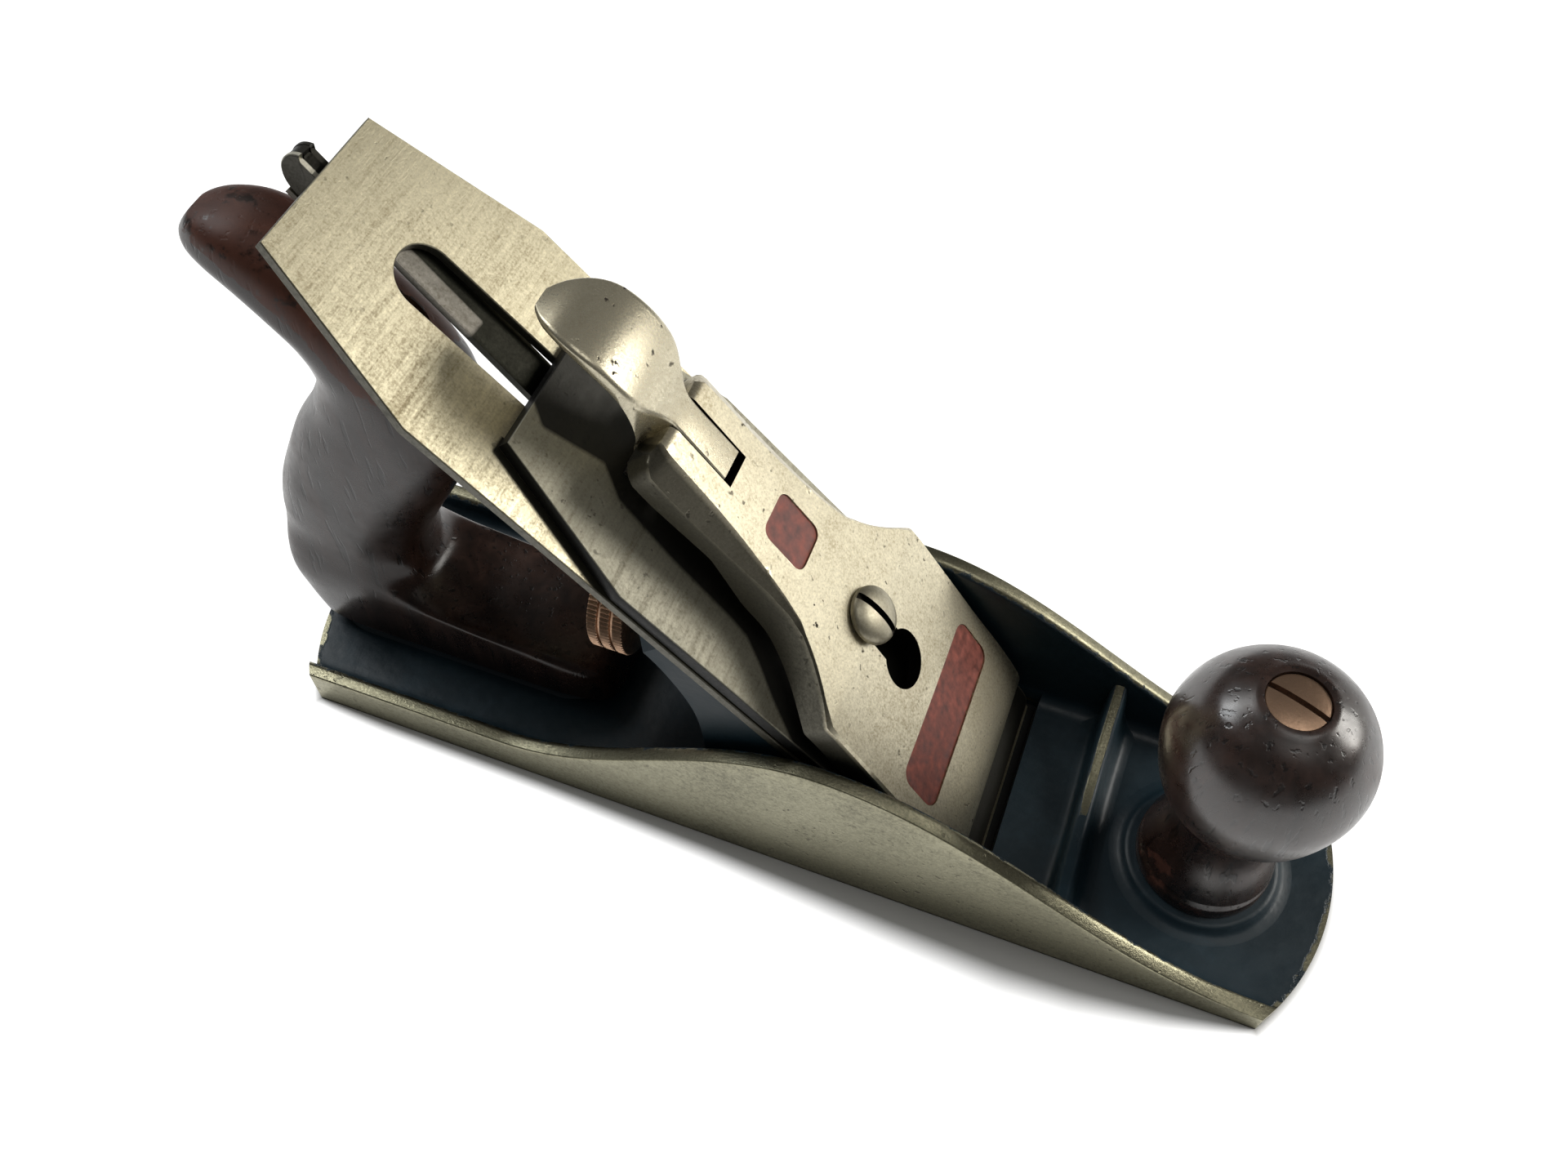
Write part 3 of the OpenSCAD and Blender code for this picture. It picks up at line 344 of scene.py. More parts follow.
class PlaneColours(bpy.types.PropertyGroup):
    """Colours of the finishes"""
    ground: colour("Ground iron", "Ground outside of the body", (0.28, 0.265, 0.182))
    paint: colour("Paint", "Dark blue paint of the castings", (0.014, 0.033, 0.046))
    steel: colour("Iron steel", "Face of the cutting iron", (0.62, 0.565, 0.40))
    cap_steel: colour("Cap iron steel", "Face of the cap iron", (0.37, 0.35, 0.27))
    nickel: colour("Nickel", "Worn nickel of the lever cap", (0.60, 0.55, 0.41))
    dark_steel: colour("Dark steel", "Screws, pins and levers", (0.16, 0.15, 0.13))
    enamel: colour("Enamel", "Enamel of the sunk panels", (0.31, 0.085, 0.06))
    brass: colour("Brass", "Tarnished brass of the wheel and nuts", (0.44, 0.285, 0.19))
    wood: colour("Hardwood", "Varnished hardwood of the knob", (0.030, 0.016, 0.012))
    wood_light: colour("Worn hardwood", "Hardwood where the varnish is worn", (0.115, 0.042, 0.026))


# Node tools


class Field:
    """An output of a shader node, which can be added, multiplied and compared like a number."""

    def __init__(self, socket):
        self.socket = socket
        self.tree = socket.id_data

    def math(self, operation, first, second=0.0):
        """The result of a Math node in the tree of this field."""
        return value_of(self.tree, "ShaderNodeMath", {0: first, 1: second}, operation=operation)

    def __add__(self, other):
        return self.math("ADD", self, other)

    def __sub__(self, other):
        return self.math("SUBTRACT", self, other)

    def __rsub__(self, other):
        return self.math("SUBTRACT", other, self)

    def __mul__(self, other):
        return self.math("MULTIPLY", self, other)

    def __truediv__(self, other):
        return self.math("DIVIDE", self, other)

    def __pow__(self, other):
        return self.math("POWER", self, other)

    def __abs__(self):
        return self.math("ABSOLUTE", self)

    def __lt__(self, other):
        return self.math("LESS_THAN", self, other)

    def __gt__(self, other):
        return self.math("GREATER_THAN", self, other)

    def highest(self, other):
        """The higher of the two at each point."""
        return self.math("MAXIMUM", self, other)

    def lowest(self, other):
        """The lower of the two at each point."""
        return self.math("MINIMUM", self, other)

    def clamped(self):
        """The same field, kept between 0 and 1 by the node that works it out."""
        self.socket.node.use_clamp = True
        return self


def connect(socket, value):
    """Links a socket to a field, or sets it to a plain value."""
    if isinstance(value, Field):
        value.tree.links.new(value.socket, socket)
    else:
        socket.default_value = value


def put(tree, kind, inputs=(), **settings):
    """A node of the given kind; inputs maps a socket's name or number to a value or a field."""
    node = tree.nodes.new(kind)
    for key, value in settings.items():
        setattr(node, key, value)
    for key, value in dict(inputs).items():
        connect(node.inputs[key], value)
    return node


def value_of(tree, kind, inputs=(), output=0, **settings):
    """An output of a new node."""
    return Field(put(tree, kind, inputs, **settings).outputs[output])


def feed(sockets, **values):
    """Sets or links inputs of a node; an underscore in a key stands for a space."""
    for key, value in values.items():
        connect(sockets[key.replace("_", " ")], value)


def noise(spot, scale, detail, roughness=0.5, distortion=0.0):
    """A noise texture at a place."""
    return value_of(spot.tree, "ShaderNodeTexNoise", {
        "Vector": spot, "Scale": scale, "Detail": detail, "Roughness": roughness, "Distortion": distortion})


def ramp(fac, stops):
    """A colour ramp; each stop is its place and a grey value or a colour."""
    node = put(fac.tree, "ShaderNodeValToRGB", {"Fac": fac})
    elements = node.color_ramp.elements
    while len(elements) < len(stops):
        elements.new(0.5)
    for element, (place, value) in zip(elements, stops):
        element.position = place
        element.color = (value, value, value, 1) if isinstance(value, (int, float)) else (*value, 1)
    return Field(node.outputs["Color"])


def mix(fac, a, b, blend="MIX"):
    """A mix of two colours. At least one of them, or the share, is a field."""
    tree = next(v.tree for v in (fac, a, b) if isinstance(v, Field))
    a, b = ((*v, 1) if isinstance(v, tuple) else v for v in (a, b))
    return value_of(tree, "ShaderNodeMix", {0: fac, 6: a, 7: b}, 2, data_type="RGBA", blend_type=blend)


def attribute(tree, name):
    """The point attribute of that name of the piece."""
    return value_of(tree, "ShaderNodeAttribute", output="Fac", attribute_name=name)


def place_vector(tree, scale=(1, 1, 1), rotation=(0, 0, 0)):
    """Object coordinates, turned and squeezed for a pattern that has a direction."""
    spot = value_of(tree, "ShaderNodeTexCoord", output="Object")
    return value_of(tree, "ShaderNodeMapping", {"Vector": spot, "Scale": scale, "Rotation": rotation})


def place_numbers(tree):
    """X, Y and Z of the Object coordinates."""
    spot = value_of(tree, "ShaderNodeTexCoord", output="Object")
    return [Field(socket) for socket in put(tree, "ShaderNodeSeparateXYZ", {0: spot}).outputs]


def bed_place(tree):
    """Distance up the iron from the mouth and distance from its centre line, both in mm."""
    x, y, z = place_numbers(tree)
    return (MOUTH_X * MM - x + z) * (math.cos(BED) / MM), y * (1 / MM)


def bump(height, strength, distance=0.0001):
    """A normal tilted by a height field; the distance, in metres, is the depth of one unit of it."""
    return value_of(height.tree, "ShaderNodeBump", {"Height": height, "Strength": strength,
                                                    "Distance": distance})


def group(name, inputs, outputs):
    """An empty node group with an input for a place and number inputs, and number outputs."""
    tree = bpy.data.node_groups.new(name, "ShaderNodeTree")
    tree.interface.new_socket("Vector", in_out="INPUT", socket_type="NodeSocketVector")
    for key, default in inputs.items():
        tree.interface.new_socket(key, in_out="INPUT", socket_type="NodeSocketFloat").default_value = default
    for key in outputs:
        tree.interface.new_socket(key, in_out="OUTPUT", socket_type="NodeSocketFloat")
    given = tree.nodes.new("NodeGroupInput").outputs
    fields = [Field(given[key]) for key in ("Vector", *inputs)]
    return tree, fields, tree.nodes.new("NodeGroupOutput").inputs


def speckle_group():
    """Fine cast grain, dark pits and broad stains of metal that has been handled for years."""
    tree, (spot, grain_by, pits_by, stain_by), out = group(
        "Metal Speckle", {"Grain": 1.0, "Pits": 0.5, "Stain": 0.5}, ["Shade", "Pit", "Height"])
    broad = noise(spot, 38.0, 5.0, 0.62)
    pit = ramp(noise(spot, 640.0, 2.0), [(0.66, 0.0), (0.72, 1.0)])
    pit = (pit * ramp(broad, [(0.42, 0.0), (0.66, 1.0)]) * pits_by).clamped()
    grain = (noise(spot, 1900.0, 3.0, 0.7) - 0.5) * grain_by
    cloud = (noise(spot, 620.0, 4.0, 0.8) - 0.5) * (grain_by * 0.6)
    feed(out, Shade=grain + cloud + (broad - 0.5) * stain_by + 0.5, Pit=pit, Height=grain - pit * 2.0)
    return tree


def brush_group():
    """Long fine scratches of a ground face. The place is squeezed along the strokes beforehand."""
    tree, (spot, amount), out = group("Brushed Strokes", {"Amount": 1.0}, ["Shade"])
    scratch = ramp(noise(spot, 260.0, 2.0), [(0.66, 0.0), (0.74, 1.0)])
    feed(out, Shade=(noise(spot, 900.0, 4.0, 0.8) - 0.5 - scratch * 0.25) * amount)
    return tree


def chip_group():
    """Where paint or enamel has gone: a mask plus uneven noise, cut off sharply at a level."""
    tree, (spot, mask, scale, level), out = group(
        "Chipped Edge", {"Mask": 0.0, "Scale": 300.0, "Level": 0.6}, ["Bare", "Rim"])
    over = mask + (noise(spot, scale, 5.0, 0.65) - 0.5) - level
    feed(out, Bare=(over * 14.0).clamped(), Rim=((over + 0.05) * 14.0).clamped())
    return tree


def wood_group():
    """Hardwood figure: growth bands along the grain, and short dark pores that lie along it."""
    tree, (spot,), out = group("Hardwood Figure", {}, ["Band", "Pore", "Height"])
    band = noise(spot, 170.0, 5.0, 0.6, 0.6) * 0.7 + noise(spot, 40.0, 3.0) * 0.3
    pore = ramp(noise(spot, 700.0, 2.0), [(0.60, 0.0), (0.68, 1.0)])
    feed(out, Band=band, Pore=pore, Height=band * 0.3 - pore)
    return tree


GROUPS = {}


def use(key, spot, **inputs):
    """The outputs of a shared node group, which is built on first use, at a place."""
    makers = {"speckle": speckle_group, "brush": brush_group, "chip": chip_group, "wood": wood_group}
    if key not in GROUPS:
        GROUPS[key] = makers[key]()
    node = put(spot.tree, "ShaderNodeGroup", node_tree=GROUPS[key])
    feed(node.inputs, Vector=spot, **inputs)
    return {socket.name: Field(socket) for socket in node.outputs}


def new_material(name):
    """A node material, its tree and the sockets of its shader."""
    material = bpy.data.materials.new(name)
    material.use_nodes = True
    tree = material.node_tree
    return material, tree, tree.nodes["Principled BSDF"].inputs


def tone(rgb, factor):
    """A colour made darker or lighter by a factor, and kept below 1."""
    return tuple(min(1.0, c * factor) for c in rgb)


# Finishes

GREY_IRON = (0.30, 0.29, 0.25)
STEEL_SHADE = (0.085, 0.08, 0.062)
GROUND_PIT = (0.06, 0.05, 0.04)


def metal(name, base, roughness=0.36, grain=0.8, pits=0.5, stain=0.5, brushed=0.0, stroke=(1, 1, 1),
          pit_colour=(0.05, 0.04, 0.03), wall=None, rub_and_highlight=None, dull=0.0, darkened=None):
    """A bare metal: speckle and stains shade its colour, pits darken it, strokes run along it.
    Where the attribute wall is 1 it takes the colour wall, and where worn is 1 the rub colour: rubbed metal,
    and on a lit rim a painted highlight. Dull is the share of the light that it scatters evenly, as a
    tarnished face does. The darkening function, if given, gives the mask of a part painted near black, which
    carries painted shade and a painted shadow."""
    material, tree, shader = new_material(name)
    marks = use("speckle", place_vector(tree), Grain=grain, Pits=pits, Stain=stain)
    shade, height = marks["Shade"], marks["Height"]
    if brushed:
        lines = use("brush", place_vector(tree, stroke), Amount=brushed)["Shade"]
        shade, height = shade + lines, height + lines
    dark = tuple(v * k for v, k in zip(base, (0.60, 0.55, 0.47)))
    surface = ramp(shade, [(0.12, dark), (0.5, base), (0.85, tone(base, 1.3))])
    surface = mix(marks["Pit"], surface, pit_colour)
    # painted shade and shadow: where the darkening mask is high the colour goes near black
    if darkened:
        surface = mix(darkened(tree), surface, tone(base, 0.07))
    tint = value_of(tree, "ShaderNodeMapRange", {"Value": shade, "From Min": 0.2, "From Max": 0.8,
                                                 "To Min": 0.7, "To Max": 1.3})
    for key, other in (("wall", wall), ("worn", rub_and_highlight)):
        if other:
            surface = mix(attribute(tree, key), surface, mix(1.0, tint, other, "MULTIPLY"))
    rough = ramp(shade, [(0.2, roughness + 0.1), (0.8, roughness - 0.07)])
    feed(shader, Base_Color=surface, Roughness=mix(marks["Pit"], rough, (0.75, 0.75, 0.75)),
         Metallic=1.0 - dull, Normal=bump(height, 0.25))
    return material


def body_finish(colours):
    """The body casting: ground iron outside, gloss dark blue paint inside, and chips between.
    The attribute bare is 1 on ground faces, and worn is high along rubbed edges. The walls of
    the mouth are painted too."""
    material, tree, shader = new_material("plane_body_finish")
    spot = place_vector(tree)
    x, y, z = place_numbers(tree)
    mouth = (abs(x - MOUTH_X * MM) < 0.009) * (z > 0.0002) * (abs(y) < 0.0265)
    bare = (attribute(tree, "bare") - mouth).clamped()
    edge = use("chip", spot, Mask=bare, Scale=420.0, Level=0.62)
    rubbed = use("chip", spot, Mask=attribute(tree, "worn"), Scale=170.0, Level=0.92)
    shows = edge["Bare"].highest(rubbed["Bare"])
    rim = edge["Rim"].highest(rubbed["Rim"])
    marks = use("speckle", spot, Grain=1.3, Pits=0.7, Stain=1.0)
    shade = marks["Shade"] + use("brush", place_vector(tree, (0.05, 1, 1)), Amount=0.35)["Shade"]
    base = tuple(colours.ground)
    iron = ramp(shade, [(0.15, tone(base, 0.6)), (0.5, base), (0.85, tone(base, 1.3))])
    iron = mix(marks["Pit"], iron, GROUND_PIT)
    dust = noise(spot, 55.0, 6.0, 0.7)
    paint = tuple(colours.paint)
    coat = ramp(dust, [(0.3, tone(paint, 0.75)), (0.55, paint), (0.8, tone(paint, 1.9))])
    coat_rough = ramp(dust, [(0.3, 0.34), (0.75, 0.55)])
    iron_rough = ramp(shade, [(0.2, 0.42), (0.8, 0.29)])
    step = rim * -1.2
    height = mix(rim, noise(spot, 210.0, 4.0) * 3.0 + step, marks["Height"] + step)
    feed(shader, Base_Color=mix(shows, coat, iron), Metallic=shows,
         Roughness=mix(shows, coat_rough, iron_rough), Normal=bump(height, 0.45, 0.00012))
    return material


def paint_finish(colours):
    """Gloss dark blue paint on the frog, with a few chips down to grey iron."""
    material, tree, shader = new_material("frog_paint")
    spot = place_vector(tree)
    dust = noise(spot, 60.0, 6.0)
    paint = tuple(colours.paint)
    coat = ramp(dust, [(0.3, tone(paint, 0.7)), (0.6, paint), (0.85, tone(paint, 2.2))])
    chips = use("chip", spot, Mask=0.3, Scale=160.0, Level=0.56)["Bare"]
    feed(shader, Base_Color=mix(chips, coat, GREY_IRON), Metallic=chips,
         Roughness=ramp(dust, [(0.3, 0.35), (0.75, 0.6)]), Specular_IOR_Level=0.22,
         Normal=bump(noise(spot, 170.0, 3.0), 0.5, 0.0003))
    return material


def enamel_finish(colours):
    """Red enamel of the sunk panels, chipped round its rim and cracked through to the nickel."""
    material, tree, shader = new_material("panel_enamel")
    spot = place_vector(tree)
    chips = use("chip", spot, Mask=attribute(tree, "rim"), Scale=520.0, Level=0.6)["Bare"]
    cloud = noise(spot, 500.0, 5.0)
    red = tuple(colours.enamel)
    coat = ramp(cloud, [(0.3, tone(red, 0.45)), (0.55, red), (0.75, tone(red, 1.5))])
    feed(shader, Base_Color=mix(chips, coat, tone(tuple(colours.nickel), 0.8)), Metallic=chips,
         Roughness=ramp(cloud, [(0.3, 0.35), (0.7, 0.55)]), Normal=bump(cloud - chips, 0.4))
    return material


def wood_finish(name, colours, grain_scale, grain_turn, worn_level, gloss):
    """Varnished hardwood: dark figure with pores, rubbed through to lighter wood where worn is high."""
    material, tree, shader = new_material(name)
    base, light = tuple(colours.wood), tuple(colours.wood_light)
    figure = use("wood", place_vector(tree, grain_scale, grain_turn))
    body = ramp(figure["Band"], [(0.32, tone(base, 0.35)), (0.5, base), (0.68, tone(base, 2.3))])
    body = mix(figure["Pore"] * 0.75, body, tone(base, 0.12))
    spot = place_vector(tree)
    rubbed = use("chip", spot, Mask=attribute(tree, "worn"), Scale=190.0, Level=worn_level)["Bare"]
    pale = ramp(figure["Band"], [(0.3, tone(light, 0.4)), (0.7, tone(light, 1.3))])
    grime = noise(spot, 90.0, 6.0, 0.7)
    rough = ramp(grime, [(0.35, 0.2), (0.7, 0.42)])
    feed(shader, Base_Color=mix(rubbed, body, pale), Specular_IOR_Level=gloss,
         Roughness=mix(rubbed, rough, (0.5, 0.5, 0.5)),
         Normal=bump(figure["Height"] + grime * 0.5, 0.22, 0.0002))
    return material


def cap_painted_shade(tree):
    """Mask of the painted shade on the cap iron: the part in the shade and shadow of the lever cap and the
    cam lever, painted near black. It gives its half width at each distance up the iron."""
    along, side = bed_place(tree)
    reach, widest = 150.0, 30.0
    edge = [(60, 25.5), (68, 21.0), (74, 17.0), (79, 14.2), (84, 13.4), (100, 12.3), (115, 10.4), (121, 6.5),
            (127, 8.0), (134, 9.6), (139, 6.0)]
    half = ramp(along / reach, [(at / reach, half / widest) for at, half in edge]) * widest
    return ((half - abs(side)) * 1.1).clamped()


def iron_darkening_and_painted_shadow(tree):
    """Mask of a darkening of the cutting iron, which grows towards its top end, and of a painted shadow: a
    dark line on the iron beside the near shoulder of the cap iron."""
    along, side = bed_place(tree)
    top_darkening = ramp(along / 190.0, [(0.55, 0.0), (0.78, 0.07), (1.0, 0.16)])
    slope = (CAP_HALF - CAP_TOP_HALF) / (CAP_TOP - CAP_SHOULDER)
    shoulder = (CAP_TOP - along) * slope + CAP_TOP_HALF
    # painted shadow of the near shoulder of the cap iron, cast on the iron
    line = ((1.9 - (side * -1.0 - shoulder)) * 1.6).clamped()
    line = line * ((CAP_TOP + 0.7 - along) * 2.0).clamped()
    return top_darkening.highest(line * (side < -14.0))


METALS = {
    "iron": dict(name="iron_steel", base="steel", roughness=0.40, grain=0.9, brushed=0.9, stroke=(1, 0.06, 1),
                 wall=(0.10, 0.095, 0.075), dull=0.2, darkened=iron_darkening_and_painted_shadow),
    "cap": dict(name="cap_iron_steel", base="cap_steel", roughness=0.5, pits=0.6, brushed=0.8,
                stroke=(1, 0.05, 1), wall=(0.006, 0.006, 0.005), dull=0.5, darkened=cap_painted_shade),
    "nickel": dict(name="worn_nickel", base="nickel", grain=1.1, pits=1.6, stain=0.8, wall=STEEL_SHADE,
                   dull=0.1),
    "cam": dict(name="cam_nickel", base="nickel", share=0.95, roughness=0.28, grain=1.0, pits=1.5, stain=0.7,
                dull=0.3),
    "screw": dict(name="screw_nickel", base="nickel", share=0.62, roughness=0.42, stain=0.8, dull=0.25),
    "pin": dict(name="pin_steel", base=STEEL_SHADE, roughness=0.4, pits=0.4, stain=0.6),
    # painted shade: the walls of the keyhole, the cam slot and the screw slot are near black
    "slot_shade": dict(name="slot_grime", base=(0.014, 0.012, 0.010), roughness=0.6, grain=1.0, pits=0.3),
    # its rub colour is rubbed metal and a painted highlight on the near ear's rim
    "dark": dict(name="dark_steel", base="dark_steel", roughness=0.4, pits=0.4, stain=0.8, brushed=0.3,
                 stroke=(1, 0.1, 1), wall=(0.018, 0.018, 0.014), rub_and_highlight=(0.75, 0.72, 0.6)),
    "brass": dict(name="tarnished_brass", base="brass", grain=0.9, pits=0.3, stain=1.2,
                  pit_colour=(0.04, 0.02, 0.01), dull=0.1),
}
FINISH = {}


def metal_of(key, colours):
    """The metal of that name; its base is a colour, or the name of one in the sidebar."""
    settings = dict(METALS[key])
    base, share = settings.pop("base"), settings.pop("share", 1.0)
    if isinstance(base, str):
        base = tone(tuple(getattr(colours, base)), share)
    return metal(base=base, **settings)


def finish_of(key):
    """The finish of that name, built on first use from the colours in the sidebar."""
    colours = bpy.context.scene.plane_colours
    others = {
        "body": lambda: body_finish(colours),
        "paint": lambda: paint_finish(colours),
        "enamel": lambda: enamel_finish(colours),
        "knob": lambda: wood_finish("knob_hardwood", colours, (1, 1, 0.16), (0, 0, 0), 0.9, 1.0),
        "tote": lambda: wood_finish("tote_hardwood", colours, (1, 1, 0.12), (0, math.radians(20), 0),
                                    0.75, 0.35),
    }
    if key not in FINISH:
        FINISH[key] = metal_of(key, colours) if key in METALS else others[key]()
    return FINISH[key]


def dress(nodes, key):
    """Gives CAD nodes that stay a finish of their own."""
    for name in nodes:
        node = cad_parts[name]
        node.data.materials.clear()
        node.data.materials.append(finish_of(key))
        node.data.shade_smooth()


# Pieces


def cheek_top(x, sizes):
    """Height of the cheek: a raised cosine from the heel up to the hump, and one down to the toe."""
    corner = TOE_X - END_BULGE
    rear = HEEL_H + (sizes.hump_h - HEEL_H) * swell((x - RISE_X) / (sizes.hump_x - RISE_X))
    front = TOE_H + (sizes.hump_h - TOE_H) * swell((corner - x) / (corner - sizes.hump_x))
    return np.where(x < sizes.hump_x, rear, front)


def end_x(y):
    """Distance of the toe or heel from the middle: an arc of a circle through both corners."""
    radius = (HALF_W ** 2 + END_BULGE ** 2) / (2 * END_BULGE)
    return TOE_X - radius + np.sqrt(radius ** 2 - np.asarray(y) ** 2)


def body_shell(sizes):
    """Sole and cheeks: at each station along the body a path crosses it over the floor, up a
    fillet and the inner wall, over the rounded top of the cheek, and down its outer face. The
    under sheet is the sole. The stations end on the arcs of the heel and the toe."""
    stations = 230
    run = np.linspace(-1, 1, stations)
    top = cheek_top(run * (TOE_X - END_BULGE), sizes)[:, None]
    rise = top - SOLE_T
    inner = HALF_W - CHEEK_T
    fillet = np.minimum(3.0, 0.5 * rise)
    edge = np.minimum(sizes.cheek_round, 0.42 * rise)
    crisp = 0.25 * edge
    angle = np.linspace(0, np.pi / 2, 6)[None, :]
    across = np.linspace(0, 1, 26)[None, :-1]
    climb = np.linspace(0, 1, 9)[None, 1:-1]
    ones = np.ones_like(top)
    y = np.concatenate([
        across * (inner - fillet), inner - fillet + fillet * np.sin(angle), ones * inner + 0 * climb,
        inner + edge - edge * np.cos(angle), HALF_W - crisp + crisp * np.sin(angle),
        ones * HALF_W + 0 * climb, ones * HALF_W, ones * (HALF_W - 0.4)], 1)
    wall_low, wall_high = SOLE_T + fillet, top - edge
    z = np.concatenate([
        ones * SOLE_T + 0 * across, SOLE_T + fillet * (1 - np.cos(angle)),
        wall_low + (wall_high - wall_low) * climb, top - edge + edge * np.sin(angle),
        top - crisp + crisp * np.cos(angle), top - crisp + (0.5 - top + crisp) * climb,
        ones * 0.4, ones * 0.0], 1)
    share = np.concatenate([np.zeros(across.size + angle.size), np.linspace(0, 0.3, climb.size),
                            np.linspace(0.4, 0.9, angle.size), np.ones(angle.size + climb.size + 2)])
    y = np.concatenate([-y[:, :0:-1], y], 1)
    z = np.concatenate([z[:, :0:-1], z], 1)
    share = np.concatenate([share[:0:-1], share])
    x = run[:, None] * end_x(y)
    ends = swell((np.abs(x) - end_x(y) + 5) / 5)
    top_sheet = np.stack([x, y, z], -1)
    under = np.stack([x, y, 0 * z], -1)
    bare = np.concatenate([np.broadcast_to(share, z.shape).ravel(), np.ones(z.size)])
    worn = np.concatenate([(1.03 * ends).ravel(), np.zeros(z.size)])
    return slab("plane_body", top_sheet, under, {"bare": bare, "worn": worn})


def rib_shell(sizes):
    """Cross rib: a ridge with a rounded crest and hollow feet, whose crest follows an arc up to
    the cheeks. Its section is half of a bell with a steeper rear face."""
    rib_x, arc = 63.6, 46.0
    half = HALF_W - CHEEK_T + 0.3
    y = np.linspace(-half, half, 61)[:, None]
    crest = sizes.rib_h + arc - np.sqrt(arc ** 2 - y ** 2)
    outline = np.array([[-6.5, 0.0], [-3.6, 0.03], [-2.4, 0.12], [-1.9, 0.35], [-1.75, 0.8], [-1.3, 0.96],
                        [-0.6, 1.0], [0.6, 1.0], [1.4, 0.95], [2.0, 0.78], [2.9, 0.35], [4.2, 0.1],
                        [6.0, 0.02], [8.0, 0.0]])
    fine = spline(outline, 4)
    x = rib_x + fine[None, :, 0] + 0 * y
    share = np.clip(fine[None, :, 1], 0, 1)
    z = SOLE_T - 0.1 + share * (crest - SOLE_T + 0.1)
    top = np.stack([x, y + 0 * x, z], -1)
    under = np.stack([x, y + 0 * x, 0 * z + SOLE_T - 1.5], -1)
    rubbed = swell((share - 0.972) / 0.028) * (0.8 + 0.45 * swell((y + 6) / 12))
    worn = np.concatenate([rubbed.ravel(), np.zeros(z.size)])
    return slab("cross_rib", top, under, {"bare": np.zeros(2 * z.size), "worn": worn})


def seats():
    """Round seat of the knob, long pad of the tote, and the pads, screw block and ledge of the frog."""
    seat = turned("knob_seat", [(0.01, 3.0), (19.2, 3.0), (19.2, 4.2), (17.6, 4.4), (16.6, 4.9), (16.2, 5.5),
                                (15.7, 5.9), (15.0, 6.0), (0.01, 6.0)], (KNOB_X, 0, 0))
    turn = np.linspace(0, 2 * np.pi, 64, endpoint=False)
    x = np.where(np.cos(turn) > 0, -55.5, -104.0)
    edge = [(12.6, 3.5), (12.6, 4.2), (11.9, 4.6), (11.5, 5.4), (11.5, 8.0), (11.2, 8.5)]
    pad = loft("tote_pad", np.stack([np.stack([x + r * np.cos(turn), r * np.sin(turn), z + 0 * turn], -1)
                                     for r, z in edge]))
    parts = [seat, pad]
    for name, x_mid, y_mid, half_x, half_y, radius, height in (
            ("frog_seat", -2.0, -14.2, 14.0, 6.8, 1.0, 8.0), ("frog_seat", -2.0, 14.2, 14.0, 6.8, 1.0, 8.0),
            ("screw_block", -3.5, 0.0, 7.5, 5.0, 0.8, 19.2), ("frog_ledge", 25.0, 0.0, 9.0, 21.0, 0.8, 6.1)):
        loop = np.stack(rounded_rect(half_x, half_y, radius), -1) + [x_mid, y_mid]
        parts.append(pillar(name, loop, 3.5, height))
    for part in parts:
        for key in ("bare", "worn"):
            store(part, key, np.zeros(len(part.vertices)))
    return parts


class PLANE_OT_body(bpy.types.Operator):
    """Body casting with its cheeks, cross rib, mouth and seats"""
    bl_idname = "plane.body"
    bl_label = "Body casting"

    def execute(self, context):
        sizes = context.scene.plane_sizes
        half = HALF_W - CHEEK_T - 0.35
        # The rear wall of the mouth follows the slope of the bed; its front wall is upright, then leans
        rear = MOUTH_X + RAMP_N / math.sin(BED)
        front = MOUTH_X + MOUTH_GAP
        wedge = np.array([[rear + 3, -3], [front, -3], [front, 1.6], [front + 0.8, 7], [rear - 7, 7]], float)
        tool = loft("mouth_cut", np.stack([np.insert(wedge, 1, y, axis=1) for y in (-half, half)]))
        shell = cut(body_shell(sizes), tool)
        mesh = joined("plane_body", shell, rib_shell(sizes), *seats())
        placed(mesh, [finish_of("body")], "plane_body", ["body_casting"])
        return {"FINISHED"}


class PLANE_OT_frog(bpy.types.Operator):
    """Finishes of the frog and of the small steel pieces that keep their CAD shape"""
    bl_idname = "plane.frog"
    bl_label = "Frog and fittings"

    def execute(self, context):
        dress(["frog"], "paint")
        dress(["frog_screws", "frog_screw_washers", "frog_adjusting_screw", "frog_adjusting_clip",
               "clip_screw", "yoke", "yoke_pin", "depth_wheel_stud", "lateral_roller", "lateral_rivet",
               "cap_iron_screw", "lever_cap_spring", "spring_rivet", "knob_bolt", "tote_bolt"], "dark")
        dress(["cap_iron_deflector"], "cap")
        dress(["cam_pin"], "pin")
        return {"FINISHED"}


def ring_plate(name, hole, rim, low, high, edge, rim_low=None):
    """A flat plate with a hole. The section goes down the wall of the hole, over both faces and
    round the outer edge, with narrow bevels; hole and rim are matching loops (s, y)."""
    rim_low = rim if rim_low is None else rim_low
    away = rim - hole
    unit = away / np.linalg.norm(away, axis=1, keepdims=True)
    rows = [(hole, low + edge), (hole, high - edge), (hole + unit * edge, high)]
    rows += [(hole + away * t, high) for t in (0.3, 0.6)]
    rows += [(rim - unit * edge, high), (rim, high - edge)]
    rows += [(rim_low, low + edge), (rim_low - unit * edge, low)]
    rows += [(hole + (rim_low - hole) * t, low) for t in (0.6, 0.3)] + [(hole + unit * edge, low)]
    wall = np.isin(np.arange(len(rows)), [0, 1, 6, 7])[:, None] * np.ones(len(hole))
    return ring(name, np.stack([bed(p[:, 0], p[:, 1], n) for p, n in rows]), {"wall": wall})


def mirrored(half):
    """A closed loop from its left half, which starts and ends on the centre line."""
    half = np.asarray(half, float)
    return np.concatenate([half, half[-2:0:-1] * [1, -1]])


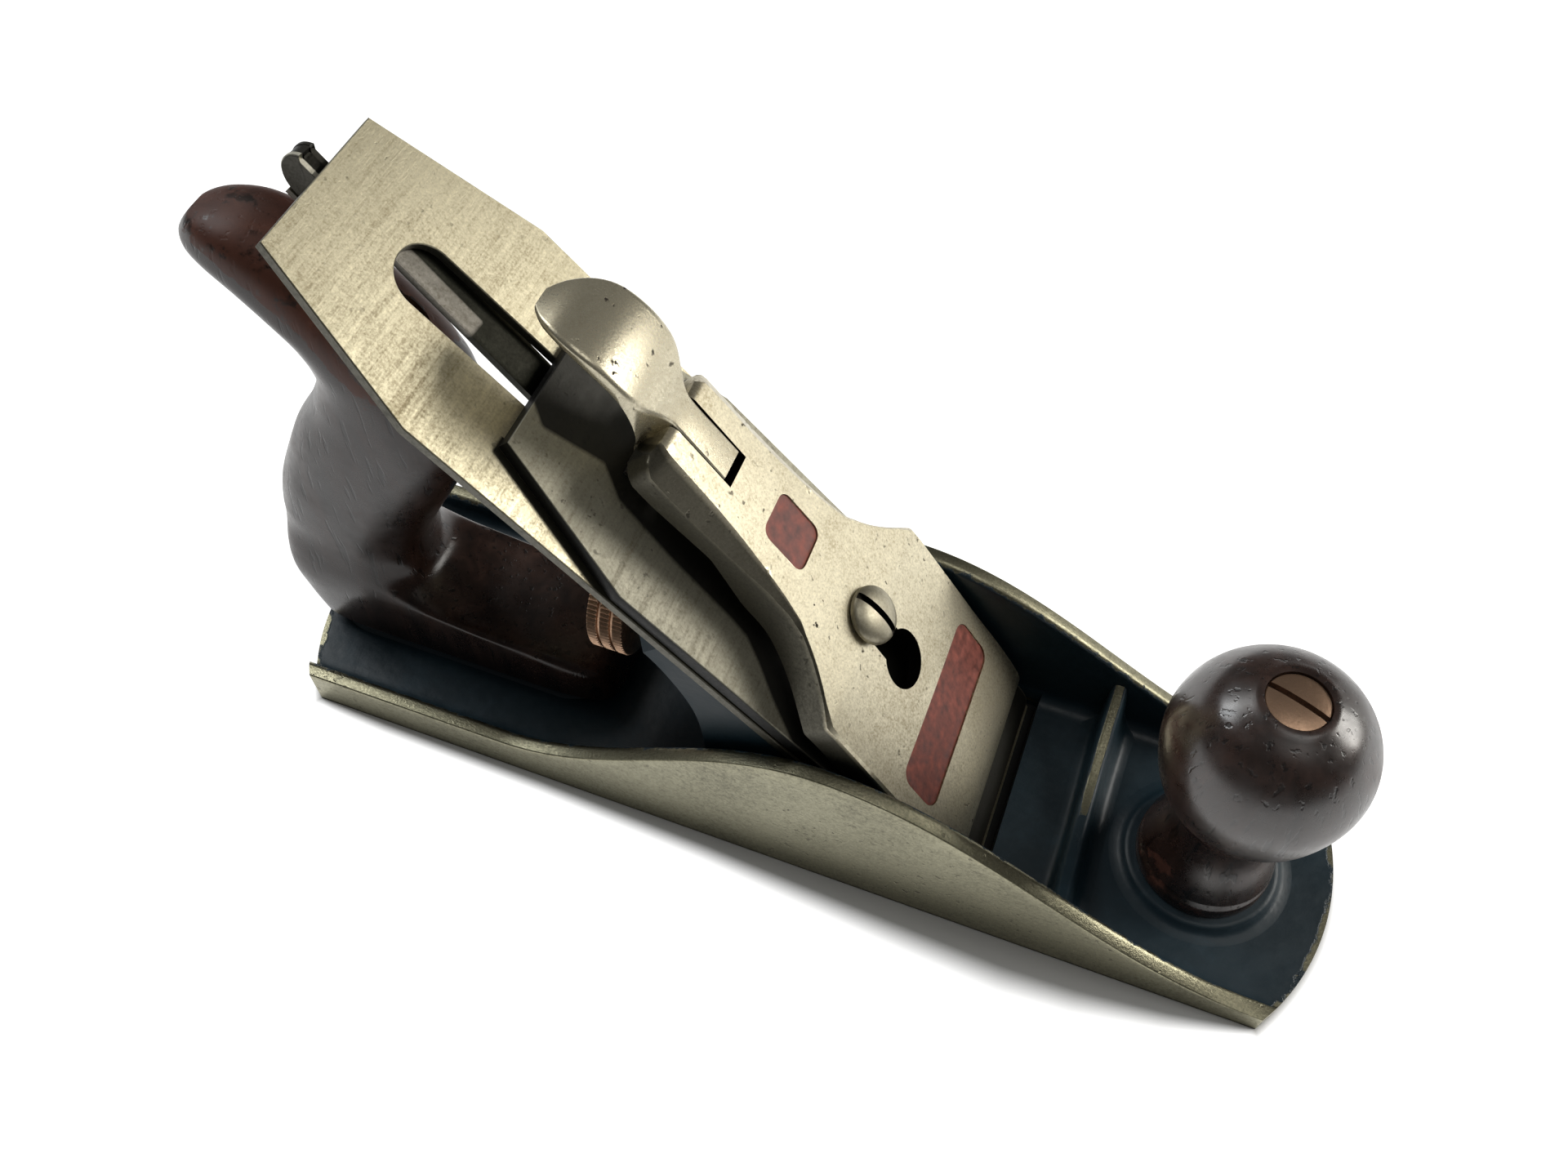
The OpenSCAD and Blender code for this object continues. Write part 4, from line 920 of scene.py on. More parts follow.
def iron_loops():
    """Slot and outline of the cutting iron as matching loops from the top end to the edge."""
    shoulder = IRON_TOP - IRON_HEAD
    slot, slot_end, hole_s, hole_r = 6.0, IRON_TOP - 17.0 - 6.0, 30.0, 10.9
    corner = math.atan2(IRON_TOP_HALF, IRON_TOP - slot_end)
    turn = np.concatenate([np.linspace(0, corner, 7), np.linspace(corner, np.pi / 2, 9)[1:]])
    top_hole = np.stack([slot_end + slot * np.cos(turn), slot * np.sin(turn)], -1)
    side_y = IRON_TOP_HALF + (IRON_HALF - IRON_TOP_HALF) * (IRON_TOP - slot_end) / IRON_HEAD
    top_rim = np.concatenate([
        np.stack([np.full(7, IRON_TOP), np.linspace(0, 1, 7) * IRON_TOP_HALF], -1),
        np.stack([np.linspace(IRON_TOP, slot_end, 9), np.linspace(IRON_TOP_HALF, side_y, 9)], -1)[1:]])
    bite = math.asin(slot / hole_r)
    low = hole_s + hole_r * math.cos(bite)
    s = np.concatenate([np.linspace(slot_end, shoulder, 4)[1:], np.linspace(shoulder, low, 24)[1:]])
    side_hole = np.stack([s, np.full_like(s, slot)], -1)
    side_rim = np.stack([s, np.interp(s, [shoulder, IRON_TOP], [IRON_HALF, IRON_TOP_HALF])], -1)
    bend = np.linspace(bite, np.pi, 20)[1:]
    low_hole = np.stack([hole_s + hole_r * np.cos(bend), hole_r * np.sin(bend)], -1)
    part = (bend - bite) / (np.pi - bite)
    low_rim = np.stack([np.interp(part, [0, 0.47], [low, EDGE_S]),
                        np.interp(part, [0.47, 1], [IRON_HALF, 0])], -1)
    return (mirrored(np.concatenate([top_hole, side_hole, low_hole])),
            mirrored(np.concatenate([top_rim, side_rim, low_rim])))


def cap_loops():
    """Screw slot and outline of the cap iron as matching loops."""
    high, low, r = SCREW_S + 5, SCREW_S - 6, 4.2
    turn = np.linspace(0, np.pi / 2, 19)
    a = math.atan2(CAP_TOP_HALF, CAP_TOP - high)
    b = math.atan2(CAP_HALF, CAP_SHOULDER - high)
    top_hole = np.stack([high + r * np.cos(turn), r * np.sin(turn)], -1)
    top_rim = np.stack([np.interp(turn, [a, b, np.pi / 2], [CAP_TOP, CAP_SHOULDER, high]),
                        np.interp(turn, [0, a, b], [0, CAP_TOP_HALF, CAP_HALF])], -1)
    for at, corner in ((a, (CAP_TOP, CAP_TOP_HALF)), (b, (CAP_SHOULDER, CAP_HALF))):
        top_rim[1 + int(np.argmin(np.abs(turn[1:] - at)))] = corner
    turn = np.linspace(np.pi / 2, np.pi, 13)
    low_hole = np.stack([low + r * np.cos(turn), r * np.sin(turn)], -1)
    low_rim = np.stack([np.interp(turn, [np.pi / 2, 2.2], [low, CAP_LOW]),
                        np.interp(turn, [2.2, np.pi], [CAP_HALF, 0])], -1)
    return mirrored(np.concatenate([top_hole, low_hole])), mirrored(np.concatenate([top_rim, low_rim]))


class PLANE_OT_irons(bpy.types.Operator):
    """Cutting iron and cap iron"""
    bl_idname = "plane.irons"
    bl_label = "Cutting iron and cap iron"

    def execute(self, context):
        hole, rim = iron_loops()
        ground = rim.copy()
        ground[:, 0] = np.maximum(ground[:, 0], EDGE_S + IRON_T / math.tan(GRIND))
        mesh = ring_plate("cutting_iron_plate", hole, rim, -IRON_T, 0.0, 0.22, ground)
        placed(mesh, [finish_of("iron")], "iron_body", ["cutting_iron"])
        hole, rim = cap_loops()
        mesh = ring_plate("cap_iron_plate", hole, rim, 0.02, CAP_T, 0.25)
        placed(mesh, [finish_of("cap")], "iron_body", ["cap_iron"])
        return {"FINISHED"}


# Lever cap

LEVER_LOW, LEVER_TOP, LEVER_HALF, NECK_HALF = 10.6, 121.0, 24.8, 12.3
FACE_S, FACE_N, UPPER_SLOPE, LOWER_SLOPE = 62.0, 15.6, 0.104, 0.17
UNDER_N, SHELL = 3.34, 3.4
ROLL_END, LIP_IN = 24.0, 16.4
SCREW_HEAD_N, SLOT_FLOOR_N, SLOT_TURN = 16.45, 17.6, math.radians(4)
PANEL_DEPTH = 0.65


def face_at(s):
    """Height of the lever cap's face over the iron: two straight slopes that meet at its corner."""
    s = np.asarray(s, float)
    return FACE_N + np.where(s > FACE_S, UPPER_SLOPE, LOWER_SLOPE) * (s - FACE_S)


def lever_sections():
    """Stations of the lever cap. The face path rolls over the lower edge, climbs the two slopes
    and turns down over the ears; with each of its points go the half width there, the width of
    the flat between the chamfers, the lower edge of the side, and the roof of the hollow."""
    roll = resample([(LEVER_LOW, UNDER_N), (LEVER_LOW - 0.05, 4.3), (LEVER_LOW + 0.5, 5.5), (13.2, 6.75),
                     (16.5, 7.65), (20, 8.4), (ROLL_END, face_at(ROLL_END))], 13)
    s = np.concatenate([roll[:, 0], np.linspace(ROLL_END, 61.4, 12)[1:], [62.0], np.linspace(62.8, 84, 20),
                        np.linspace(85, 118, 22), [119.4, 120.3, 120.9, LEVER_TOP]])
    n = np.concatenate([roll[:, 1], face_at(s[len(roll):])])
    n[-3:] -= (0.35, 0.9, 1.7)
    flank = spline([(61.4, LEVER_HALF), (62.0, LEVER_HALF - 0.25), (67.5, LEVER_HALF - 5),
                    (72.6, LEVER_HALF - 8.6), (78.2, LEVER_HALF - 11.3), (84, NECK_HALF + 0.3),
                    (91, NECK_HALF), (116, NECK_HALF), (119.4, NECK_HALF - 0.8),
                    (LEVER_TOP, NECK_HALF - 3.0)], 8)
    width = np.where(s < 61.4, LEVER_HALF, np.interp(s, flank[:, 0], flank[:, 1]))
    flat = np.interp(s, [61, 68, 78, 84, 91, 98, 105, 119, 121],
                     [LEVER_HALF - 0.5, 19.2, 12.6, 11.2, 10.1, 9.3, 8.8, 8.4, 7.4])
    flat = np.minimum(flat, width - 0.5)
    side_n = np.interp(s, [10, 34, 60, 86, 93, 98, 113, 121],
                       [UNDER_N, UNDER_N, 8.0, 8.2, 10.4, 12.0, 12.0, 12.6])
    roof_s = np.concatenate([np.linspace(LIP_IN, 25, len(roll)), s[len(roll):]])
    rise = face_at(ROLL_END) - SHELL - UNDER_N
    roof = np.where(s < ROLL_END, UNDER_N + rise * swell((roof_s - LIP_IN) / 8), n - SHELL)
    solid = swell((s - 92) / 4)
    roof = np.maximum(roof, side_n) * (1 - solid) + side_n * solid
    lip_s = np.interp(np.arange(len(s)), [0, len(roll) - 1], [LEVER_LOW, ROLL_END])
    side_s = np.where(s < ROLL_END, lip_s, s)
    return s, n, width, flat, side_s, side_n, roof_s, roof


def lever_shell():
    """Shell of the lever cap between an outer sheet, whose path crosses the flat, the chamfer and
    the side at each station, and an inner sheet under the roof and down the inner side."""
    s, n, width, flat, side_s, side_n, roof_s, roof = (v[:, None] for v in lever_sections())
    low = n - (width - flat) * 0.9
    across, chamfer, down = np.linspace(0, 1, 9), np.linspace(0, 1, 5)[1:], np.linspace(0, 1, 6)[1:]
    beside = chamfer.size + down.size
    on_flat = np.concatenate([across, np.ones(beside)])
    on_chamfer = np.concatenate([0 * across, chamfer, np.ones(down.size)])
    on_side = np.concatenate([0 * across, 0 * chamfer, down])
    crown = np.concatenate([across ** 2, np.ones(chamfer.size), 0 * down])
    crown = 0.25 * swell((s - ROLL_END) / 10) * crown
    y = flat * on_flat + (width - flat) * on_chamfer
    height = n - crown + (low - n) * on_chamfer + (np.minimum(side_n, low - 0.2) - low) * on_side
    height = np.maximum(height, UNDER_N + 0.03 * np.linspace(1, 0, height.shape[1]))
    along = s + (side_s - s) * on_side
    roof_steps, wall_steps = np.linspace(0, 1, 11), np.linspace(0, 1, 8)[1:]
    in_roof = np.concatenate([roof_steps, np.ones(wall_steps.size)])
    in_wall = np.concatenate([0 * roof_steps, wall_steps])
    y_in = np.maximum(width - SHELL, 3.0) * in_roof
    n_in = roof + (side_n - roof) * in_wall
    s_in = roof_s + (np.where(s < ROLL_END, np.maximum(side_s, LIP_IN), roof_s) - roof_s) * in_wall
    both = lambda v, sign=1: np.concatenate([sign * v[:, :0:-1], v], 1)
    outer = bed(both(along), both(y, -1), both(height))
    inner = bed(both(s_in), both(y_in, -1), both(n_in))
    wall = both((on_side > 0) + 0.0 * s)
    # Painted shade: on the near side only, the chamfer and the side past the corner of the face are darkened.
    wall[:, :beside] = np.maximum(wall[:, :beside], 0.85 * swell((s - 60) / 6))
    return slab("lever_cap_shell", outer, inner,
                {"wall": np.concatenate([wall.ravel(), np.ones(inner[..., 0].size)])})


def tilted(loop, s_mid, slope, depth):
    """Loops of a prism whose floor lies at a depth under the face and whose top stands clear."""
    return np.stack([bed(s_mid + loop[:, 0], loop[:, 1], face_at(s_mid) + slope * loop[:, 0] + out)
                     for out in (-depth, 3.0)])


# Sunk panels: distance up the bed, half length, half width, corner radius, slope of the face
PANELS = ((88.8, 6.0, 5.2, 2.2, UPPER_SLOPE), (32.4, 6.1, 19.8, 3.0, LOWER_SLOPE))


def panel_loop(half_s, half_y, radius, inset=0.0):
    """Outline of a panel, drawn in evenly by the inset; its corners stay rounded."""
    return np.stack(rounded_rect(half_s - inset, half_y - inset, max(radius - inset, 0.3), 6), -1)


def enamel_inlay():
    """Enamel in the sunk panels: rounded plates just under the face, dished a little. The
    attribute rim rises from the middle to the edge."""
    plates = []
    for s_mid, half_s, half_y, radius, slope in PANELS:
        loops, rim = [], []
        for inset, lift, value in [(0.05, -1.0, 0.6), (0.05, -0.42, 0.6), (0.35, -0.36, 0.42),
                                   (1.1, -0.44, 0.3), (2.2, -0.46, 0.24), (3.6, -0.47, 0.22)]:
            loop = panel_loop(half_s, half_y, radius, inset)
            loops.append(bed(s_mid + loop[:, 0], loop[:, 1], face_at(s_mid) + slope * loop[:, 0] + lift))
            rim.append(np.full(len(loop), value))
        plates.append(loft("panel_enamel", np.stack(loops), {"rim": np.stack(rim)}))
    return joined("panel_enamel", *plates)


def keyhole_loop():
    """Keyhole: a round lobe towards the mouth and a narrower slot with a round end at the screw."""
    lobe_s, lobe_r, slot_r, end_s = SCREW_S - 13.4, 6.0, 3.7, SCREW_S + 0.4
    bite = math.asin(slot_r / lobe_r)
    top = np.linspace(-np.pi / 2, np.pi / 2, 17)
    lobe = np.linspace(bite, 2 * np.pi - bite, 33)
    return np.concatenate([np.stack([end_s + slot_r * np.cos(top), slot_r * np.sin(top)], -1),
                           np.stack([lobe_s + lobe_r * np.cos(lobe), lobe_r * np.sin(lobe)], -1)])


class PLANE_OT_lever_cap(bpy.types.Operator):
    """Lever cap with its keyhole, cam slot and sunk enamel panels, and the screw that holds it"""
    bl_idname = "plane.lever_cap"
    bl_label = "Lever cap"

    def execute(self, context):
        tools = [bed_prism("keyhole", keyhole_loop(), 0.0, 30.0),
                 bed_prism("cam_slot", box_loop(CAM_S - 9.0, CAM_S + 20, 3.7), 0.0, 40.0)]
        # the walls these tools leave are near black, painted shade
        for tool in tools:
            tool.materials.append(finish_of("slot_shade"))
        for s_mid, half_s, half_y, radius, slope in PANELS:
            loop = panel_loop(half_s, half_y, radius)
            tools.append(loft("panel", tilted(loop, s_mid, slope, PANEL_DEPTH)))
        shell = lever_shell()
        shell.materials.append(finish_of("nickel"))
        mesh = cut(shell, *tools)
        piece = placed(mesh, [finish_of("nickel")], "lever_cap_body", ["lever_cap"], sharp=28)
        edge = piece.modifiers.new("edges", "BEVEL")
        edge.width, edge.segments, edge.angle_limit = 0.28 * MM, 2, math.radians(40)
        edge.harden_normals = False
        placed(enamel_inlay(), [finish_of("enamel")], "lever_cap_body")
        tip = BED_N - 6.5 - SCREW_HEAD_N
        dome = [(0.01, tip), (3.1, tip), (3.1, -0.01), (5.6, 0.0), (5.8, 0.25), (5.8, 0.8)]
        dome += [(5.8 * math.cos(a), 0.8 + 2.1 * math.sin(a)) for a in np.linspace(0.12, 1.5, 12)]
        screw = on_bed_turned("lever_screw", dome, SCREW_S, SCREW_HEAD_N)
        cos, sin = math.cos(SLOT_TURN), math.sin(SLOT_TURN)
        slot_loop = box_loop(-8, 8, 0.7) @ np.array([[cos, sin], [-sin, cos]]) + [SCREW_S, 0]
        slot = bed_prism("screw_slot", slot_loop, SLOT_FLOOR_N, SLOT_FLOOR_N + 4.4)
        # the walls of the screw slot are near black, painted shade
        slot.materials.append(finish_of("slot_shade"))
        screw.materials.append(finish_of("screw"))
        screw = cut(screw, slot)
        placed(screw, [finish_of("screw")], "frog_body", ["lever_cap_screw"])
        return {"FINISHED"}


def cam_sections():
    """Cam lever: rounded bars across a centre line that leaves the ears and arches over to the tip.
    Each station has its top point, its under point and its half width."""
    top = resample([(106.9, 20.27), (113, 20.9), (119, 21.5), (122.6, 22.2), (126, 23.4), (131, 24.7),
                    (137, 25.1), (142.5, 24.0), (147, 21.4), (150.4, 17.6)], 44)
    under = resample([(106.9, 14.5), (108.2, 9.6), (111.5, 5.6), (116.6, 5.4), (120.4, 10.4), (123.5, 17.4),
                      (128.6, 21.2), (134.6, 22.3), (140.6, 21.4), (145.0, 19.2), (148.6, 16.2)], 44)
    s = top[:, 0]
    flare = spline([(106, 3.4), (119, 3.4), (122, 3.9), (125, 5.6), (128, 7.6), (131.5, 8.6), (138, 8.8),
                    (143, 8.6), (146.5, 7.4), (149, 5.2), (150.4, 2.6)], 8)
    return top, under, np.interp(s, flare[:, 0], flare[:, 1])


class PLANE_OT_cam_lever(bpy.types.Operator):
    """Cam lever between the ears of the lever cap"""
    bl_idname = "plane.cam_lever"
    bl_label = "Cam lever"

    def execute(self, context):
        top, under, half = cam_sections()
        middle, arm = (top + under) / 2, (top - under) / 2
        thick = np.linalg.norm(arm, axis=1)
        radius = np.minimum(np.interp(top[:, 0], [106, 120, 130], [0.35, 0.6, 1.3]), thick * 0.8)
        y, h = rounded_rect(half, thick, radius, 5)
        unit = arm / thick[:, None]
        loops = bed(middle[:, :1] + unit[:, :1] * h, y, middle[:, 1:] + unit[:, 1:] * h)
        placed(loft("cam_lever_piece", loops), [finish_of("cam")], "cam_body", ["cam_lever"])
        return {"FINISHED"}


class PLANE_OT_lateral_lever(bpy.types.Operator):
    """Lateral lever: a flat bar behind the iron with a folded thumb piece at its top"""
    bl_idname = "plane.lateral_lever"
    bl_label = "Lateral lever"

    def execute(self, context):
        turn = context.scene.plane_sizes.lateral_turn
        end = IRON_TOP - 5

        def turned_bed(s, y, n):
            """Places on the bed after a turn about the rivet."""
            away = s - PIVOT_S
            return bed(PIVOT_S + away * math.cos(turn) - y * math.sin(turn),
                       y * math.cos(turn) + away * math.sin(turn), n)

        s = np.concatenate([np.linspace(91.02, 95, 7), np.linspace(96, 109, 14), np.linspace(110, 146, 10),
                            np.linspace(147, 153, 13), np.linspace(154, end, 8)])[:, None]
        foot_r, disc_r = 4.0, 6.5
        half = np.maximum(np.sqrt(np.clip(foot_r ** 2 - np.minimum(s - 95, 0) ** 2, 0, None)),
                          np.sqrt(np.clip(disc_r ** 2 - (s - PIVOT_S) ** 2, 0, None)))
        across = np.linspace(-1, 1, 21)[None, :]
        base = BED_N - 2.05
        # Painted shadow: the bar is darkened below the tip of the cam lever and over its far half, where at
        # rest the cam lever and the far edge of the slot in the iron cast their shadows.
        painted_shadow = np.maximum(swell((151.8 - s) / 0.8) + 0 * across, swell((across + 0.12) / 0.1) + 0 * s)
        crest = 0.15 * across ** 8
        bar = slab("lateral_bar", turned_bed(s, half * across, base + 1.8 - crest),
                   turned_bed(s, half * across, base + crest),
                   {"wall": np.concatenate([painted_shadow.ravel(), np.ones(painted_shadow.size)])})
        y = np.linspace(-3.8, 0.4, 9)[None, :]
        drop = resample([(end - 1, base + 0.9), (end + 0.6, base + 0.6), (end + 0.9, base - 1.2),
                         (end + 1.0, BED_N - 7.2), (end + 2.0, BED_N - 8.3), (end + 6.6, BED_N - 8.4)], 20)
        tangent = np.gradient(drop, axis=0)
        side = np.stack([-tangent[:, 1], tangent[:, 0]], -1) / np.linalg.norm(tangent, axis=1, keepdims=True)
        web = slab("thumb_web", *(turned_bed(sheet[:, :1], y, sheet[:, 1:])
                                  for sheet in (drop + 0.6 * side, drop - 0.6 * side)))
        angle = np.linspace(0, 2 * np.pi, 48, endpoint=False)

        def side_view(share, bend):
            """Outline of the thumb piece from the side, at a share of its full radii."""
            rise = BED_N - 2.7 + share * 4.7 * np.sin(bend)
            reach = end + 5.2 + share * 5.2 * np.cos(bend)
            near_iron = (reach < IRON_TOP + 3.4) & (np.sin(bend) > 0)
            return reach, np.where(near_iron, np.minimum(rise, BED_N - 0.35), rise)

        def thumb_part(share, bend, y):
            """Points of that outline, at a distance y from the middle of the lever."""
            reach, rise = side_view(share, bend)
            return turned_bed(reach, y, rise)

        ears = []
        # The rim of the near ear takes the rub colour: rubbed metal, and a painted highlight of its lit edge.
        for y0, rim in ((-3.8, 0.85), (-0.8, 0.0)):
            rows = [(0.0, 0.95, 0.0), (0.25, 1.0, rim), (0.95, 1.0, rim), (1.2, 0.95, 0.0)]
            loops = np.stack([thumb_part(share, angle, y0 + dy) for dy, share, _ in rows])
            worn = np.array([row[2] for row in rows])[:, None] * np.ones(len(angle))
            ears.append(loft("thumb_ear", loops, {"worn": worn, "wall": 0.75 + 0 * worn}))
        over = np.linspace(math.radians(-50), math.radians(120), 26)[:, None]
        y = np.linspace(-2.7, -0.7, 5)[None, :]
        crown = slab("thumb_crown", thumb_part(0.97, over, y), thumb_part(0.75, over, y),
                     {"wall": np.full(2 * over.size * y.size, 0.8)})
        mesh = joined("lateral_lever_piece", bar, web, crown, *ears)
        placed(mesh, [finish_of("dark")], "lateral_body", ["lateral_lever"])
        return {"FINISHED"}


class PLANE_OT_depth_wheel(bpy.types.Operator):
    """Depth wheel with three knurled bands"""
    bl_idname = "plane.depth_wheel"
    bl_label = "Depth wheel"

    def execute(self, context):
        count = context.scene.plane_sizes.knurls
        x0 = WHEEL_LOW[0]
        rim, band, gap = 14.0, 2.35, 0.45
        profile = [(0.01, x0 + 2.6), (7.6, x0 + 2.6), (8.2, x0 + 0.5), (9.0, x0 + 0.1), (12.7, x0)]
        for i in range(3):
            a = x0 + 0.25 + i * (band + gap)
            b = a + band
            profile += [(rim - 0.75, a), (rim - 0.3, a + 0.12), (rim - 0.05, a + 0.3),
                        (rim - 0.05, b - 0.3), (rim - 0.3, b - 0.12), (rim - 0.75, b)]
        profile += [(12.7, x0 + 8.5), (6.6, x0 + 8.5), (6.0, x0 + 9), (6.0, x0 + 14.1), (6.5, x0 + 14.5),
                    (8.7, x0 + 14.5), (9.0, x0 + 14.8), (9.0, x0 + 16.2), (8.7, x0 + 16.5), (0.01, x0 + 16.5)]
        tall = np.array([p[0] for p in profile]) > rim - 0.2

        def knurl(angle):
            """Radius added on the bands: a zigzag round the rim, one tooth for each ridge."""
            ridge = np.abs(((angle * count / (2 * np.pi)) % 1) * 2 - 1)
            return tall[:, None] * (0.05 - 0.42 * (1 - ridge))

        mesh = turned("depth_wheel_piece", profile, (0, 0, WHEEL_Z), "X", count * 4, knurl)
        placed(mesh, [finish_of("brass")], "wheel_body", ["depth_wheel"], sharp=40)
        return {"FINISHED"}


def nut_mesh(name, place, lean, slot_turn, slot_w=0.95):
    """Round nut: a low dome with a driver slot, on a stem. It leans about Y and its slot is turned."""
    profile = [(0.01, -8), (4.2, -8), (4.2, -2.6), (5.8, -2.6), (5.8, -0.25), (5.6, 0.02), (4.4, 0.3),
               (2.4, 0.5), (0.01, 0.55)]
    nut = turned(name, profile, (0, 0, 0), turns=64)
    tool = pillar("slot", box_loop(-8, 8, slot_w / 2), -1.3, 3.0)
    tool.transform(Matrix.Rotation(slot_turn, 4, "Z"))
    nut = cut(nut, tool)
    nut.transform(Matrix.Translation(Vector(place) * MM) @ Matrix.Rotation(lean, 4, "Y"))
    return nut


class PLANE_OT_knob(bpy.types.Operator):
    """Turned knob and its nut"""
    bl_idname = "plane.knob"
    bl_label = "Knob"

    def execute(self, context):
        foot, top_r, z0 = 14.0, 19.3, 6.0
        height = KNOB_HIGH[2] - z0
        curve = resample([(foot - 0.3, 6.0), (foot - 1.4, 10.0), (foot - 3.1, 16.0), (foot - 3.4, 21.0),
                          (foot - 2.4, 26.4), (foot + 0.6, 31.4), (top_r - 1.6, 38.0), (top_r, 47.4),
                          (top_r - 1.7, 55.4), (top_r - 6.2, 62.0), (7.4, height - 0.25)], 90)
        base = [(0.01, 0.0), (foot - 0.6, 0.0), (foot - 0.1, 0.25), (foot, 0.8), (foot, 3.2),
                (foot - 0.2, 3.9), (foot - 0.9, 4.5), (foot - 1.0, 5.1)]
        well = [(6.6, height), (5.9, height - 0.05), (5.85, height - 1.5), (0.01, height - 1.5)]
        profile = np.concatenate([base, curve, well])
        mesh = turned("knob_turning", profile, (KNOB_X, 0, z0), turns=128)
        worn_side = np.array([-0.55, -0.72, -0.28])
        away = (points_of(mesh) / MM - [KNOB_X, 0, z0 + 40]) @ worn_side - 13
        store(mesh, "worn", 0.9 * swell(away / 8))
        placed(mesh, [finish_of("knob")], "plane_body", ["knob"], sharp=50)
        nut = nut_mesh("knob_nut_piece", (KNOB_X, 0, z0 + height - 0.45), 0.0, math.radians(-19), 1.15)
        placed(nut, [finish_of("brass")], "plane_body", ["knob_nut"])
        return {"FINISHED"}


TOTE_SEAT, TOTE_W, TOTE_FOOT_W, HORN_DROP = 8.5, 24.0, 27.0, 11.7
TOTE_K = (IRON_TOP * math.sin(BED) - HORN_DROP - TOTE_SEAT) / 111.5
TOTE_LEAN, TOTE_NUT_Z = math.radians(18), 95.5 * TOTE_K


def tote_ends():
    """Ends of each cross section of the tote, from the foot to the horn: for its back point and
    its front point, the distance from the heel and the height over the seat."""
    ends = np.array([
        (0, 0, 76, 0), (-1.4, 4, 75.6, 4.5), (-2.4, 8, 72, 9.1), (-3.1, 12, 62, 12.1), (-3.6, 16, 50, 13.5),
        (-3.74, 20.5, 39, 14.9), (-3.74, 25.5, 30.4, 18.9), (-3.2, 32.5, 29.6, 28), (-0.6, 41.5, 35, 39),
        (3.6, 50.5, 41, 49.5), (9.4, 61.5, 46.8, 61), (15.6, 70.5, 50, 71.1), (20, 79.1, 49.6, 79.9),
        (20.6, 84.9, 45.8, 86.5), (18.8, 90.7, 40, 93.1), (14.6, 95.3, 33, 100.1), (10, 98.5, 25.4, 107.1),
        (5.2, 101.3, 16.6, 111.1), (1.8, 103.6, 9.2, 111.5), (0.4, 106.4, 3.6, 110.2)])
    return spline(ends * TOTE_K + [-TOE_X, TOTE_SEAT, -TOE_X, TOTE_SEAT], 7)


class PLANE_OT_tote(bpy.types.Operator):
    """Tote with its nut"""
    bl_idname = "plane.tote"
    bl_label = "Tote"

    def execute(self, context):
        ends = tote_ends()
        turns = 72
        angle = (np.arange(turns) + 0.5)[None, :] * 2 * np.pi / turns
        z = ((ends[:, 1:2] + ends[:, 3:4]) / 2 - TOTE_SEAT) / TOTE_K
        foot, horn = 1 - swell((z - 11.5) / 18), swell((z - 83.5) / 26)
        past = np.clip((np.linspace(0, 1, len(ends)) - 0.74) / 0.26, 0, 1)[:, None]
        half = (TOTE_W / 2 + (TOTE_FOOT_W - TOTE_W) / 2 * foot - horn) * np.sqrt(1 - 0.93 * past ** 2)
        power = 0.82 - 0.52 * foot - 0.12 * horn
        bend = lambda v: np.sign(v) * np.abs(v) ** power
        u = bend(np.cos(angle))
        loops = np.stack([(ends[:, :1] + ends[:, 2:3] + u * (ends[:, 2:3] - ends[:, :1])) / 2,
                          half * bend(np.sin(angle)),
                          (ends[:, 1:2] + ends[:, 3:4] + u * (ends[:, 3:4] - ends[:, 1:2])) / 2], -1)
        worn = 0.1 + 0.75 * swell((z * TOTE_K - 76) / 8) * swell((u + 0.35) / 0.5)
        mesh = loft("tote_shape", loops, {"worn": worn})
        x = 9 * TOTE_K - TOE_X + math.sin(TOTE_LEAN) * TOTE_NUT_Z
        z = TOTE_SEAT + math.cos(TOTE_LEAN) * TOTE_NUT_Z
        well = turned("nut_well", [(0.01, -2.8), (5.85, -2.8), (5.85, 30), (0.01, 30)], (0, 0, 0), turns=48)
        well.transform(Matrix.Translation(Vector((x, 0, z)) * MM) @ Matrix.Rotation(TOTE_LEAN, 4, "Y"))
        mesh = cut(mesh, well)
        placed(mesh, [finish_of("tote")], "plane_body", ["tote"], sharp=50)
        nut = nut_mesh("tote_nut_piece", (x, 0, z), TOTE_LEAN, math.radians(70))
        placed(nut, [finish_of("brass")], "plane_body", ["tote_nut"])
        return {"FINISHED"}


# Stage

# Lamps: name, place and aim in metres, size of the sheet, watts, tint
LAMPS = (
    ("right_window", (1.0, 0.50, 0.575), (0, 0, 0.05), (0.5, 0.45), 6.2, (1.0, 0.975, 0.92)),
    ("pale_wall", (1.15, 0.79, 0.16), (0, 0, 0.06), (1.3, 0.24), 0.85, (1.0, 0.98, 0.93)),
    ("left_window", (-0.92, 0.22, 0.88), (0, 0, 0.04), (0.45, 0.45), 4.0, (0.95, 0.98, 1.0)),
    ("back_window", (-0.62, 0.36, 0.95), (-0.06, 0, 0.02), (0.34, 0.26), 0.9, (1.0, 0.99, 0.96)),
    ("ceiling_lamp", (0.34, -0.03, 1.0), (0, 0, 0.03), (0.5, 0.5), 1.3, (1.0, 0.985, 0.95)),
)
LENS = 31.355
CAMERA_PLACE, CAMERA_TURN = (0.04702, -0.14041, 0.27539), (34.4124, -0.2363, 20.6539)
TABLE_HALF, TABLE_T = 3000.0, 20.0


def area_lamp(name, place, aim, size, watts, tint):
    """A rectangular lamp that faces its aim, with its long side level."""
    light = bpy.data.lights.new(name, "AREA")
    light.shape, light.size, light.size_y = "RECTANGLE", size[0], size[1]
    light.energy, light.color = watts, tint
    lamp = bpy.data.objects.new(name, light)
    lamp.location = place
    lamp.rotation_euler = (Vector(aim) - Vector(place)).to_track_quat("-Z", "Y").to_euler()
    bpy.context.scene.collection.objects.link(lamp)


